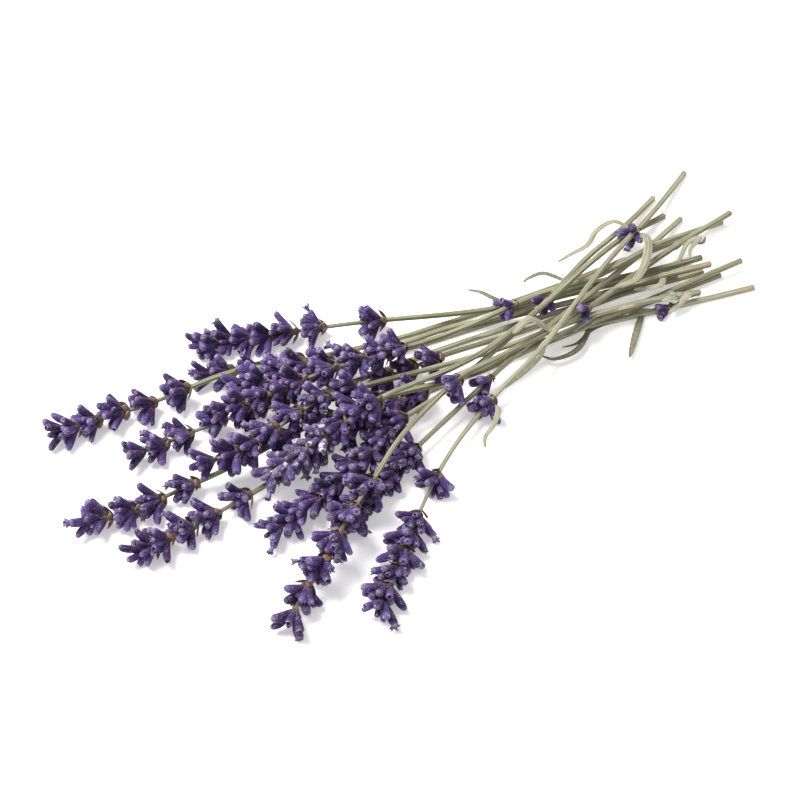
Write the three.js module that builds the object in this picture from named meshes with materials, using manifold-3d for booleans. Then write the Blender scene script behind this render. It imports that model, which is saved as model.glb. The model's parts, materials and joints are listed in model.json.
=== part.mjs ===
// A bunch of dried lavender, lying down: sixteen cut stalks laid loosely across each other.
// Millimetres, +Z up. +X runs along the bunch from the flower heads to the cut ends, and the origin
// is on the surface it lies on, under the middle of its box.
//
// Each stalk is two solids: stem_NN, the grey-green stem with its leaves and the few buds that sit on
// it below the head, and head_NN, the flower head. A whorl is a ring of calyces, and a calyx is the
// small tube that a flower sits in. A bud whorl is one of smaller calyces below the head.

import * as THREE from "three";
import { mergeVertices } from "three/addons/utils/BufferGeometryUtils.js";
import Module from "manifold-3d";

const wasm = await Module();
wasm.setup();

// ---------------------------------------------------------------- driving sizes

const CLEARANCE = 0.35; // kept between two stalks, so that each stays its own solid
const STEM_HALF_AT_CUT = 0.86; // lavender stems are square: half the side, at the cut end
const STEM_HALF_AT_NECK = 0.68; // and where the flower head begins
const STEM_RINGS = 22;
const CORNER_REACH = 1.27; // how far a square stem reaches for its half side, mostly to its corners
const RACHIS_RADIUS = 0.85; // the thin stalk in the middle of a flower head, where the head begins
const RACHIS_END_RADIUS = 0.65; // and at its tip
const HEAD_CORE = 4.0; // how near another stalk comes to the middle of a head: calyces give way
const HEAD_ON_FLOOR = 3.6; // lowest height of a head's middle, its lower calyces pressed aside
const NECK_BLEND = 6; // length over which a stem's reach grows to the head's

const CALYX_LENGTH = 7.2; // a little larger than life, so that fewer of them cover the head
const BELLY_HALF = 1.25; // half its width where it is widest
const BELLY_AT = 0.6; // how far along it that is, as a share of its length
const MOUTH_HALF = 0.95; // half its width at its end
const INNER_WIDTH = 0.7; // it is a wedge, so that eight fit round a stalk: the side by the stalk
const OUTER_WIDTH = 1.1; // and the far side, as shares of its width
const ROOT_LENGTH = 1.1; // length of stalk that a whorl grows out of
const HEAD_SIDES = 8; // calyces in a whorl of the head, one from each side of its thin stalk
const STEM_SIDES = 4; // and in a whorl on the square stem
const OUTER_LEAN = 54; // degrees between a calyx and its stalk, every other one
const INNER_LEAN = 27; // and those between
const BUD_LEAN = 42;
const BUD_SIZE = 0.75; // the calyces below the head, as a share of those in it
const LAST_LEAN = 34; // in the last whorl, round the calyx at the tip
const LAST_WHORL = 5.6; // how far back from the tip the last whorl is
const LEAN_JITTER = 5;
const SPIN_JITTER = 5;
const WHORL_TWIST = 22.5; // each whorl is turned this much from the one before it
const PRESSED = 0.5; // a calyx may be pressed flat on the floor by this much

const LEAF_THICKNESS = 0.6;
const LEAF_RINGS = 8;
const LEAF_WIDTH_STARTS = 0.15; // its width follows half a wave, between these shares of it
const LEAF_WIDTH_ENDS = 0.95;
const LEAF_MARGIN = 0.1; // room for its corners, kept clear of the rest

// ---------------------------------------------------------------- the stalks

// In laying order, each resting on those before it. plan is the line of the stalk seen from above,
// from its cut end to its tip. The other lengths run back from the tip: neck is where the head
// begins, whorls are its rings of calyces, and buds are single whorls on the bare stem.
const STALKS = [
  {
    plan: [[118, 21], [58, 24], [-17, 33], [-48, 43]],
    neck: 36,
    whorls: [33, 27, 20, 11],
    buds: [],
  },
  {
    plan: [[116, 5], [66, 13], [21, 18], [-24, 20], [-49, 23], [-80, 24]],
    neck: 44,
    whorls: [41, 31, 20, 12],
    buds: [],
  },
  {
    plan: [[120, 1], [75, 3], [38, 4], [2, 4], [-24, 0], [-56, -7], [-96, -11]],
    neck: 43,
    whorls: [40, 29, 21, 13, 8],
    buds: [80, 70],
  },
  {
    plan: [[126, -9], [80, 0], [38, 4], [10, 2], [-19, 1]],
    neck: 31,
    whorls: [28, 19, 10],
    buds: [116.5],
  },
  {
    plan: [[106, 6], [79, 9], [58, 11], [-4, 14]],
    neck: 28,
    whorls: [25, 16, 8],
    buds: [],
  },
  {
    plan: [[128, 1], [85, 1], [51, 1], [13, -1], [-32, 4], [-67, 5], [-88, 5], [-104, 9]],
    neck: 40,
    whorls: [37, 26, 17.5, 9.5],
    buds: [90, 80, 70],
  },
  {
    plan: [[109, -3], [59, 3], [19, 8], [-16, 8], [-47, 4], [-66, 6]],
    neck: 58,
    whorls: [55, 45, 35, 26, 19, 13],
    buds: [],
  },
  {
    plan: [[117, 3], [79, 10], [47, 19], [17, 23], [-19, 29], [-44, 37], [-97, 44]],
    neck: 47,
    whorls: [44, 33, 24, 15.5, 9],
    buds: [],
  },
  {
    plan: [[115, 11], [54, 17], [28, 23], [-7, 23], [-43, 30]],
    neck: 44,
    whorls: [41, 32, 24, 18, 11],
    buds: [],
  },
  {
    plan: [[118, 9], [82, 14], [54, 17], [13, 36], [-44, 56]],
    neck: 64,
    whorls: [61, 42, 33, 26, 20, 14, 9],
    buds: [],
  },
  {
    plan: [[124, 29], [79, 10], [17, -8], [-40, -31]],
    neck: 42,
    whorls: [39, 28, 19, 9],
    buds: [74],
  },
  {
    plan: [[135, 21], [110, 19], [81, 13], [52, 16], [-14, 16], [-53, 21]],
    neck: 66,
    whorls: [63, 57, 49, 39, 29, 24, 18, 11],
    buds: [103.5],
  },
  {
    plan: [[122, 42], [89, 26], [59, 10], [19, -3], [-5, -7], [-22, -15], [-58, -23]],
    neck: 61,
    whorls: [58, 48, 36, 26, 20, 11],
    buds: [123],
  },
  {
    plan: [[120, 33], [98, 27], [63, 10], [29, 1], [-9, -2], [-51, -7]],
    neck: 45,
    whorls: [42, 30, 23, 16, 10],
    buds: [],
  },
  {
    plan: [
      [138, 21], [109, 15], [70, 3], [34, -2], [18, -4], [-6, -13.5], [-25, -26.5], [-46, -40],
      [-57, -46], [-68, -55],
    ],
    neck: 55,
    whorls: [52, 41, 31.5, 23, 13.5],
    buds: [152, 100],
  },
  {
    plan: [[138, 47], [108, 29], [56, -1], [24.5, -11.5], [-3.5, -28], [-44.5, -64]],
    neck: 57,
    whorls: [54, 38, 31.5, 24.5, 17.5, 11],
    buds: [175, 88],
  },
];

// Each leaf grows from a stalk, at a distance back from its tip, through the points that follow, and
// half is half its width. A leaf that would touch something is lifted until it is clear.
const LEAVES = [
  {
    stalk: 16,
    back: 175,
    half: 0.8,
    through: [[99, 32, 9], [92, 32, 8], [86, 28, 8], [80, 28, 7], [74, 27, 7]],
  },
  { stalk: 16, back: 174, half: 1.15, through: [[103, 19, 8], [97, 11, 8.5], [89, 5, 9], [81, 5, 9]] },
  { stalk: 15, back: 198, half: 0.6, through: [[117, 14, 6], [120, 12, 6], [122, 13, 7]] },
  {
    stalk: 10,
    back: 161.5,
    half: 0.7,
    through: [[115, 13, 3.5], [119, 12, 4.5], [113, 9, 5], [110, 5, 5.5]],
  },
  { stalk: 8, back: 202, half: 0.9, through: [[97, 2, 7.2], [94, 2, 7.5], [88, 4, 7.5]] },
  { stalk: 7, back: 168, half: 0.9, through: [[98, -3, 5], [94, -2, 5]] },
  { stalk: 4, back: 112.5, half: 0.8, through: [[88, 0, 1.6], [84, 1, 1.6]] },
  { stalk: 7, back: 172.5, half: 0.95, through: [[104, -4, 3.4], [100, -5, 2], [95, -6, 0.8]] },
  { stalk: 4, back: 107.5, half: 0.95, through: [[82, -7, 1.3], [78, -11, 1.3], [74, -15, 1.3]] },
  { stalk: 4, back: 89.5, half: 0.8, through: [[61, -5, 2.5], [53, -5, 2.5], [50, -2, 2.5]] },
  { stalk: 16, back: 112.5, half: 0.75, through: [[46, -7, 10.5], [41, -9, 9.5], [30, -12, 8.5]] },
  { stalk: 15, back: 137, half: 1.2, through: [[48, 3, 11.5], [40, 0, 12]] },
  { stalk: 15, back: 128.5, half: 0.9, through: [[41, -1, 11], [35, -2, 11]] },
  { stalk: 6, back: 175.5, half: 0.95, through: [[63, -1, 6.3], [57, 0, 6.3]] },
  { stalk: 13, back: 132.5, half: 0.7, through: [[64, 20, 13], [59, 21, 12.5], [57, 21, 11.5]] },
  { stalk: 10, back: 102.5, half: 0.7, through: [[47, 23, 8], [45, 27, 8], [42, 30, 8]] },
  {
    stalk: 16,
    back: 86.5,
    half: 0.7,
    through: [[25, -16, 5.3], [21, -20, 4.3], [17, -22, 3.3], [15, -25, 2.3]],
  },
];

// ---------------------------------------------------------------- drawing lots

function lotsFrom(seed) {
  let state = seed >>> 0;
  return () => {
    state = (state + 0x6d2b79f5) >>> 0;
    let mixed = state;
    mixed = Math.imul(mixed ^ (mixed >>> 15), mixed | 1);
    mixed ^= mixed + Math.imul(mixed ^ (mixed >>> 7), mixed | 61);
    return ((mixed ^ (mixed >>> 14)) >>> 0) / 4294967296;
  };
}

const either = (lot, most) => (2 * lot() - 1) * most;

// ---------------------------------------------------------------- laying the stalks down

const STATIONS = 64; // points along a stalk
const SPRING_LOAD = 4e-5; // weight over stiffness of a stem, per mm cubed
const HEAD_WEIGHT = 3; // a head weighs this many times its length of stem
const SETTLING_ROUNDS = 200;
const NO_PUSH = 1e-12;
const NO_HEIGHT = 1e-9;

function fineLine(plan) {
  const corners = plan.map(([x, y]) => new THREE.Vector3(x, y, 0));
  const curve = new THREE.CatmullRomCurve3(corners, false, "catmullrom", 0.5);
  return { points: curve.getSpacedPoints(2 * (STATIONS - 1)), length: curve.getLength() };
}

// Half the side of the stem, and how near others come to its middle, at a distance from the tip.
function stemHalf(stalk, fromTip) {
  const along = (stalk.length - fromTip) / (stalk.length - stalk.neck);
  return THREE.MathUtils.lerp(STEM_HALF_AT_CUT, STEM_HALF_AT_NECK, Math.min(along, 1));
}

function reach(stalk, fromTip) {
  const stem = CORNER_REACH * stemHalf(stalk, fromTip);
  const intoHead = THREE.MathUtils.clamp((stalk.neck - fromTip) / NECK_BLEND, 0, 1);
  return THREE.MathUtils.lerp(stem, HEAD_CORE, intoHead);
}

function lowest(stalk, fromTip) {
  return fromTip > stalk.neck ? stemHalf(stalk, fromTip) : HEAD_ON_FLOOR;
}

// Height that a point of a stalk needs to clear the floor and every stalk laid before it.
function heightNeeded(stalk, point, fromTip, laid) {
  let need = lowest(stalk, fromTip);
  for (const other of laid) {
    for (let i = 0; i < STATIONS - 1; i++) {
      const [a, b] = [other.points[i], other.points[i + 1]];
      const run = (b.x - a.x) ** 2 + (b.y - a.y) ** 2;
      const dot = (point.x - a.x) * (b.x - a.x) + (point.y - a.y) * (b.y - a.y);
      const share = THREE.MathUtils.clamp(dot / run, 0, 1);
      const [x, y] = [a.x + share * (b.x - a.x), a.y + share * (b.y - a.y)];
      const apart = Math.hypot(x - point.x, y - point.y);
      const clear = reach(stalk, fromTip) + other.reach[i] + CLEARANCE;
      if (apart < clear) {
        need = Math.max(need, a.z + share * (b.z - a.z) + Math.sqrt(clear ** 2 - apart ** 2));
      }
    }
  }
  return need;
}

// Bending force on a springy line of heights at one point, as weights of its neighbours' heights.
function bendWeights(i) {
  const weights = [0, 0, 0, 0, 0];
  for (let k = Math.max(1, i - 1); k <= Math.min(STATIONS - 2, i + 1); k++) {
    const own = k === i ? -2 : 1;
    weights[k - i + 1] += own;
    weights[k - i + 2] -= 2 * own;
    weights[k - i + 3] += own;
  }
  return weights;
}

// Heights of the line where its held points lie at their supports and the others are in balance.
function balance(held, support, load) {
  const rows = held.map((fixed, i) => (fixed ? [0, 0, 1, 0, 0] : bendWeights(i)));
  const sums = held.map((fixed, i) => (fixed ? support[i] : -load[i]));
  for (let i = 0; i < STATIONS; i++) {
    for (let below = i + 1; below <= Math.min(i + 2, STATIONS - 1); below++) {
      const factor = rows[below][2 - (below - i)] / rows[i][2];
      for (let k = 0; k <= 2; k++) {
        rows[below][k + 2 - (below - i)] -= factor * rows[i][k + 2];
      }
      sums[below] -= factor * sums[i];
    }
  }
  const heights = new Array(STATIONS).fill(0);
  for (let i = STATIONS - 1; i >= 0; i--) {
    const known = rows[i][3] * (heights[i + 1] ?? 0) + rows[i][4] * (heights[i + 2] ?? 0);
    heights[i] = (sums[i] - known) / rows[i][2];
  }
  return heights;
}

// The lowest springy line that stays on or above its supports.
function settle(support, load) {
  let held = support.map(() => true);
  let heights = support;
  for (let round = 0; round < SETTLING_ROUNDS; round++) {
    heights = balance(held, support, load);
    const push = (i) =>
      bendWeights(i).reduce((sum, weight, k) => sum + weight * (heights[i + k - 2] ?? 0), load[i]);
    const next = held.map((fixed, i) =>
      fixed ? push(i) > -NO_PUSH : heights[i] < support[i] - NO_HEIGHT,
    );
    if (next.every((fixed, i) => fixed === held[i])) {
      break;
    }
    held = next;
  }
  return heights.map((height, i) => Math.max(height, support[i]));
}

function layStalk(stalk, laid) {
  const { points: fine, length } = fineLine(stalk.plan);
  const step = length / (STATIONS - 1);
  const placed = { ...stalk, length, step };
  const needs = fine.map((point, i) => heightNeeded(placed, point, length - (i * step) / 2, laid));
  const support = [];
  const load = [];
  for (let i = 0; i < STATIONS; i++) {
    support.push(Math.max(...needs.slice(Math.max(0, 2 * i - 1), 2 * i + 2)));
    load.push(SPRING_LOAD * step ** 4 * (length - i * step > stalk.neck ? 1 : HEAD_WEIGHT));
  }
  const heights = settle(support, load);
  placed.points = heights.map((z, i) => new THREE.Vector3(fine[2 * i].x, fine[2 * i].y, z));
  placed.reach = heights.map((z, i) => reach(placed, length - i * step));
  return placed;
}

const laid = [];
for (const stalk of STALKS) {
  laid.push(layStalk(stalk, laid));
}

// ---------------------------------------------------------------- skins

const UP = new THREE.Vector3(0, 0, 1);
const RADIANS = Math.PI / 180;

// Point and frame of a stalk at a distance from its tip: ahead to the tip, side level, over upward.
function frameAt(stalk, fromTip) {
  const at = THREE.MathUtils.clamp((stalk.length - fromTip) / stalk.step, 0, STATIONS - 1);
  const i = Math.min(Math.floor(at), STATIONS - 2);
  const point = stalk.points[i].clone().lerp(stalk.points[i + 1], at - i);
  const before = stalk.points[Math.max(i - 1, 0)];
  const after = stalk.points[Math.min(i + 2, STATIONS - 1)];
  return frameAlong(point, after.clone().sub(before));
}

function frameAlong(point, direction) {
  const ahead = direction.clone().normalize();
  const side = UP.clone().cross(ahead).normalize();
  return { point, ahead, side, over: ahead.clone().cross(side) };
}

function outward({ side, over }, spin) {
  const angle = spin * RADIANS;
  return side.clone().multiplyScalar(Math.cos(angle)).addScaledVector(over, Math.sin(angle));
}

// Corners of an even ring round a stalk, with the middle of its first side at the given turn.
function evenRing(frame, radius, sides, turn) {
  return Array.from({ length: sides }, (_, k) =>
    frame.point.clone().addScaledVector(outward(frame, turn + ((k - 0.5) * 360) / sides), radius),
  );
}

function boxRing(centre, across, over, halfAcross, halfOver) {
  const corner = (a, o) =>
    centre.clone().addScaledVector(across, a * halfAcross).addScaledVector(over, o * halfOver);
  return [corner(-1, -1), corner(1, -1), corner(1, 1), corner(-1, 1)];
}

function wedgeRing(centre, across, over, half) {
  const corner = (a, o) =>
    centre.clone().addScaledVector(across, a * half).addScaledVector(over, o * half);
  return [
    corner(-OUTER_WIDTH, -1),
    corner(OUTER_WIDTH, -1),
    corner(INNER_WIDTH, 1),
    corner(-INNER_WIDTH, 1),
  ];
}

// A skin is grown ring by ring. Rings run the same way round, seen from ahead of them. Nothing lies
// below the floor: what would is pressed flat on it.
function addRing(skin, ring) {
  const first = skin.points.length;
  skin.points.push(...ring.map(({ x, y, z }) => new THREE.Vector3(x, y, Math.max(z, 0))));
  return ring.map((_, k) => first + k);
}

function addFace(skin, loop) {
  for (let k = 1; k < loop.length - 1; k++) {
    skin.faces.push(loop[0], loop[k], loop[k + 1]);
  }
}

// The four-cornered faces between two rings.
function facesBetween(ring, next) {
  return ring.map((corner, k) => {
    const after = (k + 1) % ring.length;
    return [corner, ring[after], next[after], next[k]];
  });
}

function startSkin(ring) {
  const skin = { points: [], faces: [] };
  const first = addRing(skin, ring);
  addFace(skin, [...first].reverse());
  return [skin, first];
}

function growTo(skin, from, ring) {
  const next = addRing(skin, ring);
  facesBetween(from, next).forEach((face) => addFace(skin, face));
  return next;
}

function tube(rings) {
  let [skin, last] = startSkin(rings[0]);
  for (const ring of rings.slice(1)) {
    last = growTo(skin, last, ring);
  }
  addFace(skin, last);
  return skin;
}

// ---------------------------------------------------------------- keeping clear of each other

const PARALLEL = 1e-9;

// A straight rod, which stands for a stretch of stalk, calyx or leaf.
function makeRod(from, to, half) {
  const middle = from.clone().add(to).multiplyScalar(0.5);
  return { from, to, half, middle, span: from.distanceTo(to) / 2 };
}

function rodGap(one, two) {
  const along1 = one.to.clone().sub(one.from);
  const along2 = two.to.clone().sub(two.from);
  const between = one.from.clone().sub(two.from);
  const [len1, len2, cross] = [along1.lengthSq(), along2.lengthSq(), along1.dot(along2)];
  const [off1, off2] = [along1.dot(between), along2.dot(between)];
  const spread = len1 * len2 - cross * cross;
  const clamp = THREE.MathUtils.clamp;
  let at1 = spread > PARALLEL ? clamp((cross * off2 - off1 * len2) / spread, 0, 1) : 0;
  const at2 = clamp((cross * at1 + off2) / len2, 0, 1);
  at1 = clamp((cross * at2 - off1) / len1, 0, 1);
  const near1 = one.from.clone().addScaledVector(along1, at1);
  const near2 = two.from.clone().addScaledVector(along2, at2);
  return near1.distanceTo(near2) - one.half - two.half;
}

// What is already there, each with the number of the stalk that it belongs to.
const thereAlready = [];

function isClear(rod, owner) {
  if (Math.min(rod.from.z, rod.to.z) < rod.half - PRESSED) {
    return false;
  }
  return thereAlready.every((other) => {
    const isFar = rod.middle.distanceTo(other.middle) > rod.span + other.span + CALYX_LENGTH;
    return other.owner === owner || isFar || rodGap(rod, other) >= CLEARANCE;
  });
}

function takePlace(rods, owner) {
  rods.forEach((rod) => thereAlready.push({ ...rod, owner }));
}

laid.forEach((stalk, owner) => {
  for (let i = 0; i < STATIONS - 1; i++) {
    const fromTip = stalk.length - (i + 0.5) * stalk.step;
    const half = fromTip > stalk.neck ? CORNER_REACH * stemHalf(stalk, fromTip) : RACHIS_RADIUS;
    takePlace([makeRod(stalk.points[i], stalk.points[i + 1], half)], owner);
  }
});

// Whether an edge goes through a face.
function pierces(from, to, [a, b, c]) {
  const side = (p, q, r, s) => q.clone().sub(p).cross(r.clone().sub(p)).dot(s.clone().sub(p));
  if (side(a, b, c, from) * side(a, b, c, to) >= 0) {
    return false;
  }
  const turns = [side(from, to, a, b), side(from, to, b, c), side(from, to, c, a)];
  return turns.every((turn) => turn > 0) || turns.every((turn) => turn < 0);
}

function cornersOf({ points, faces }) {
  return faces.flatMap((_, k) => (k % 3 === 0 ? [faces.slice(k, k + 3).map((i) => points[i])] : []));
}

function crosses(one, two) {
  if (one[0].distanceTo(two[0]) > 2 * CALYX_LENGTH) {
    return false;
  }
  return [0, 1, 2].some((k) => {
    const next = (k + 1) % 3;
    return pierces(one[k], one[next], two) || pierces(two[k], two[next], one);
  });
}

// Whether what a skin has grown since its list of faces was this long crosses the rest of it.
function crossesItself(skin, before) {
  const corners = cornersOf(skin);
  const [rest, grown] = [corners.slice(0, before / 3), corners.slice(before / 3)];
  return grown.some((face) => rest.some((other) => crosses(face, other)));
}

// ---------------------------------------------------------------- calyces

// Ways to bend a calyx clear: shares of its lean, turns round the stalk in degrees, and shares of its
// size. The first that is clear is taken, and where none is, no calyx grows.
const BENDS = [
  [1, 0, 1],
  [0.8, 0, 1],
  [1, 18, 1],
  [1, -18, 1],
  [1.25, 0, 1],
  [0.8, 18, 1],
  [0.8, -18, 1],
  [0.6, 0, 1],
  [1.25, 24, 0.85],
  [1.25, -24, 0.85],
  [0.6, 24, 0.85],
  [0.6, -24, 0.85],
  [0.4, 0, 0.85],
  [1, 0, 0.7],
  [0.7, 30, 0.7],
  [0.7, -30, 0.7],
  [0.4, 0, 0.7],
  [1.4, 0, 0.7],
  [0.5, 40, 0.6],
  [0.5, -40, 0.6],
];

// A calyx as rods: from and to as shares of its length, and half its width there, corners and all,
// for one of full size.
const CALYX_RODS = [
  [0.1, 0.35, 0.8],
  [0.35, BELLY_AT, 1.4],
  [BELLY_AT, 1, 1.6],
];

function calyxRods(root, along, size) {
  const at = (share) => root.clone().addScaledVector(along, share * size * CALYX_LENGTH);
  return CALYX_RODS.map(([from, to, half]) => makeRod(at(from), at(to), size * half));
}

// Grows a calyx out of one four-cornered face of a stalk's skin.
function growCalyx(skin, face, { frame, fullSize }, spin, lean, owner) {
  const corners = face.map((index) => skin.points[index]);
  const root = corners.reduce((sum, corner) => sum.add(corner), new THREE.Vector3()).divideScalar(4);
  for (const [leanShare, turn, sizeShare] of BENDS) {
    const angle = lean * leanShare * RADIANS;
    const away = outward(frame, spin + turn);
    const along = frame.ahead.clone().multiplyScalar(Math.cos(angle));
    along.addScaledVector(away, Math.sin(angle));
    const size = fullSize * sizeShare;
    const rods = calyxRods(root, along, size);
    if (!rods.every((rod) => isClear(rod, owner))) {
      continue;
    }
    const [pointsBefore, facesBefore] = [skin.points.length, skin.faces.length];
    const across = frame.ahead.clone().cross(away);
    const over = along.clone().cross(across);
    const ringAt = (share, half) => {
      const centre = root.clone().addScaledVector(along, share * size * CALYX_LENGTH);
      return wedgeRing(centre, across, over, size * half);
    };
    const belly = growTo(skin, face, ringAt(BELLY_AT, BELLY_HALF));
    addFace(skin, growTo(skin, belly, ringAt(1, MOUTH_HALF)));
    if (!crossesItself(skin, facesBefore)) {
      takePlace(rods, owner);
      return;
    }
    skin.points.length = pointsBefore;
    skin.faces.length = facesBefore;
  }
  addFace(skin, face);
}

// Adds the two rings of a whorl, and leaves the stretch between them open for its calyces.
function addWhorl(skin, last, stalk, fromTip, { radius, sides, turn, leans, fullSize }) {
  const [near, far] = [fromTip + ROOT_LENGTH / 2, fromTip - ROOT_LENGTH / 2].map((at) =>
    evenRing(frameAt(stalk, at), radius, sides, turn),
  );
  const from = growTo(skin, last, near);
  return { from, to: addRing(skin, far), frame: frameAt(stalk, fromTip), turn, leans, fullSize };
}

function growWhorl(skin, whorl, owner, lot) {
  const { from, to, turn, leans } = whorl;
  facesBetween(from, to).forEach((face, k) => {
    const spin = turn + (k * 360) / from.length + either(lot, SPIN_JITTER);
    growCalyx(skin, face, whorl, spin, leans[k % leans.length] + either(lot, LEAN_JITTER), owner);
  });
}

// ---------------------------------------------------------------- nodes

// The stem from its cut end to the neck, with the calyces of its few bud whorls.
function stemSkin(stalk, owner, lot) {
  const radius = (fromTip) => Math.SQRT2 * stemHalf(stalk, fromTip);
  const plainRing = (fromTip) => evenRing(frameAt(stalk, fromTip), radius(fromTip), STEM_SIDES, 0);
  const end = stalk.neck + CLEARANCE;
  const stops = Array.from({ length: STEM_RINGS }, (_, k) =>
    THREE.MathUtils.lerp(stalk.length, end, k / (STEM_RINGS - 1)),
  );
  const away = (stop) => stalk.buds.every((bud) => Math.abs(stop - bud) > 2 * ROOT_LENGTH);
  const [first, ...others] = [...stops.filter(away), ...stalk.buds].sort((a, b) => b - a);
  let [skin, last] = startSkin(plainRing(first));
  const whorls = [];
  for (const fromTip of others) {
    if (stalk.buds.includes(fromTip)) {
      const buds = { sides: STEM_SIDES, turn: 0, leans: [BUD_LEAN], fullSize: BUD_SIZE };
      whorls.push(addWhorl(skin, last, stalk, fromTip, { ...buds, radius: radius(fromTip) }));
      last = whorls.at(-1).to;
    } else {
      last = growTo(skin, last, plainRing(fromTip));
    }
  }
  addFace(skin, last);
  whorls.forEach((whorl) => growWhorl(skin, whorl, owner, lot));
  return skin;
}

// The flower head: its thin stalk, a calyx from each side of it at every whorl, and one at its tip.
function headSkin(stalk, owner, lot) {
  const radius = (fromTip) =>
    THREE.MathUtils.mapLinear(fromTip, 0, stalk.neck, RACHIS_END_RADIUS, RACHIS_RADIUS);
  const turn = 360 * lot();
  const neckRing = evenRing(frameAt(stalk, stalk.neck), radius(stalk.neck), HEAD_SIDES, turn);
  let [skin, last] = startSkin(neckRing);
  const whorls = [...stalk.whorls, LAST_WHORL].map((fromTip, k) => {
    const leans = fromTip === LAST_WHORL ? [LAST_LEAN] : [OUTER_LEAN, INNER_LEAN];
    const shape = { sides: HEAD_SIDES, turn: turn + k * WHORL_TWIST, leans, fullSize: 1 };
    const whorl = addWhorl(skin, last, stalk, fromTip, { ...shape, radius: radius(fromTip) });
    last = whorl.to;
    return whorl;
  });
  const lastTurn = whorls.at(-1).turn;
  const tipRing = (fromTip, half) => evenRing(frameAt(stalk, fromTip), half, HEAD_SIDES, lastTurn);
  last = growTo(skin, last, tipRing(LAST_WHORL - BELLY_AT * LAST_WHORL, BELLY_HALF));
  addFace(skin, growTo(skin, last, tipRing(0, MOUTH_HALF)));
  whorls.forEach((whorl) => growWhorl(skin, whorl, owner, lot));
  return skin;
}

const LEAF_LIFTS = [0, 0.7, 1.4, 2.1, -0.7, 2.8, -1.4, 3.5, 4.2];

// Frames along a leaf from its root in the stem to its tip, each with half its width.
function leafFrames(leaf, lift) {
  const through = leaf.through.map(
    ([x, y, z]) => new THREE.Vector3(x, y, Math.max(z + lift, LEAF_THICKNESS)),
  );
  const root = frameAt(laid[leaf.stalk - 1], leaf.back).point;
  const curve = new THREE.CatmullRomCurve3([root, ...through], false, "catmullrom", 0.5);
  return Array.from({ length: LEAF_RINGS }, (_, k) => {
    const at = k / (LEAF_RINGS - 1);
    const wave = Math.PI * THREE.MathUtils.lerp(LEAF_WIDTH_STARTS, LEAF_WIDTH_ENDS, at);
    const half = leaf.half * Math.sin(wave);
    return { ...frameAlong(curve.getPointAt(at), curve.getTangentAt(at)), half };
  });
}

// A thin arched blade, narrow at its root, which is sunk in the stem, and at its tip.
function leafSkin(leaf) {
  const owner = leaf.stalk - 1;
  for (const lift of LEAF_LIFTS) {
    const frames = leafFrames(leaf, lift);
    const rods = frames.slice(1).map((frame, k) => {
      const half = Math.max(frame.half, LEAF_THICKNESS / 2) + LEAF_MARGIN;
      return makeRod(frames[k].point, frame.point, half);
    });
    if (rods.slice(1).every((rod) => isClear(rod, owner))) {
      takePlace(rods, owner);
      const rings = frames.map(({ point, side, over, half }) =>
        boxRing(point, side, over, half, LEAF_THICKNESS / 2),
      );
      return tube(rings);
    }
  }
  throw new Error(`no clear way for the leaf at ${leaf.back} on stalk ${leaf.stalk}`);
}

function geometryOf(positions, faces) {
  const geometry = new THREE.BufferGeometry();
  geometry.setAttribute("position", new THREE.Float32BufferAttribute(positions, 3));
  geometry.setIndex(faces);
  return geometry;
}

function skinGeometry({ points, faces }) {
  return geometryOf(points.flatMap((point) => point.toArray()), faces);
}

function manifoldOf(geometry) {
  const merged = mergeVertices(geometry);
  return new wasm.Manifold(
    new wasm.Mesh({
      numProp: 3,
      vertProperties: Float32Array.from(merged.attributes.position.array),
      triVerts: Uint32Array.from(merged.index.array),
    }),
  );
}

function fuse(skins) {
  const solids = skins.map((skin) => manifoldOf(skinGeometry(skin)));
  const joined = solids.reduce((all, next) => all.add(next));
  const { vertProperties, triVerts } = joined.getMesh();
  return geometryOf([...vertProperties], [...triVerts]);
}

const STEM_FINISH = { color: 0x8f9070, roughness: 0.85, metalness: 0 };
const HEAD_FINISH = { color: 0x5b4a8a, roughness: 0.9, metalness: 0 };

function addNode(group, name, geometry, finish) {
  geometry.computeVertexNormals();
  const mesh = new THREE.Mesh(geometry, new THREE.MeshStandardMaterial(finish));
  mesh.name = name;
  group.add(mesh);
}

const bunch = new THREE.Group();
const leafSkins = LEAVES.map(leafSkin);
laid.forEach((stalk, owner) => {
  const lot = lotsFrom(owner + 1);
  const number = String(owner + 1).padStart(2, "0");
  const leaves = leafSkins.filter((_, k) => LEAVES[k].stalk - 1 === owner);
  addNode(bunch, `stem_${number}`, fuse([stemSkin(stalk, owner, lot), ...leaves]), STEM_FINISH);
  addNode(bunch, `head_${number}`, skinGeometry(headSkin(stalk, owner, lot)), HEAD_FINISH);
});

const box = new THREE.Box3().setFromObject(bunch);
bunch.position.set(-(box.min.x + box.max.x) / 2, -(box.min.y + box.max.y) / 2, 0);

export default bunch;
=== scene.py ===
"""A bunch of dried lavender lying on a pale floor, dressed over its solids.

Lengths are worked out in millimetres, from the same driving sizes as the solids, and go into the meshes
in metres. A calyx stands wherever the solids have one, and more of them fill the room between those.
"""

import json
import math

import bmesh
import bpy
import numpy as np
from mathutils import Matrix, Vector
from mathutils.kdtree import KDTree

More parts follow.
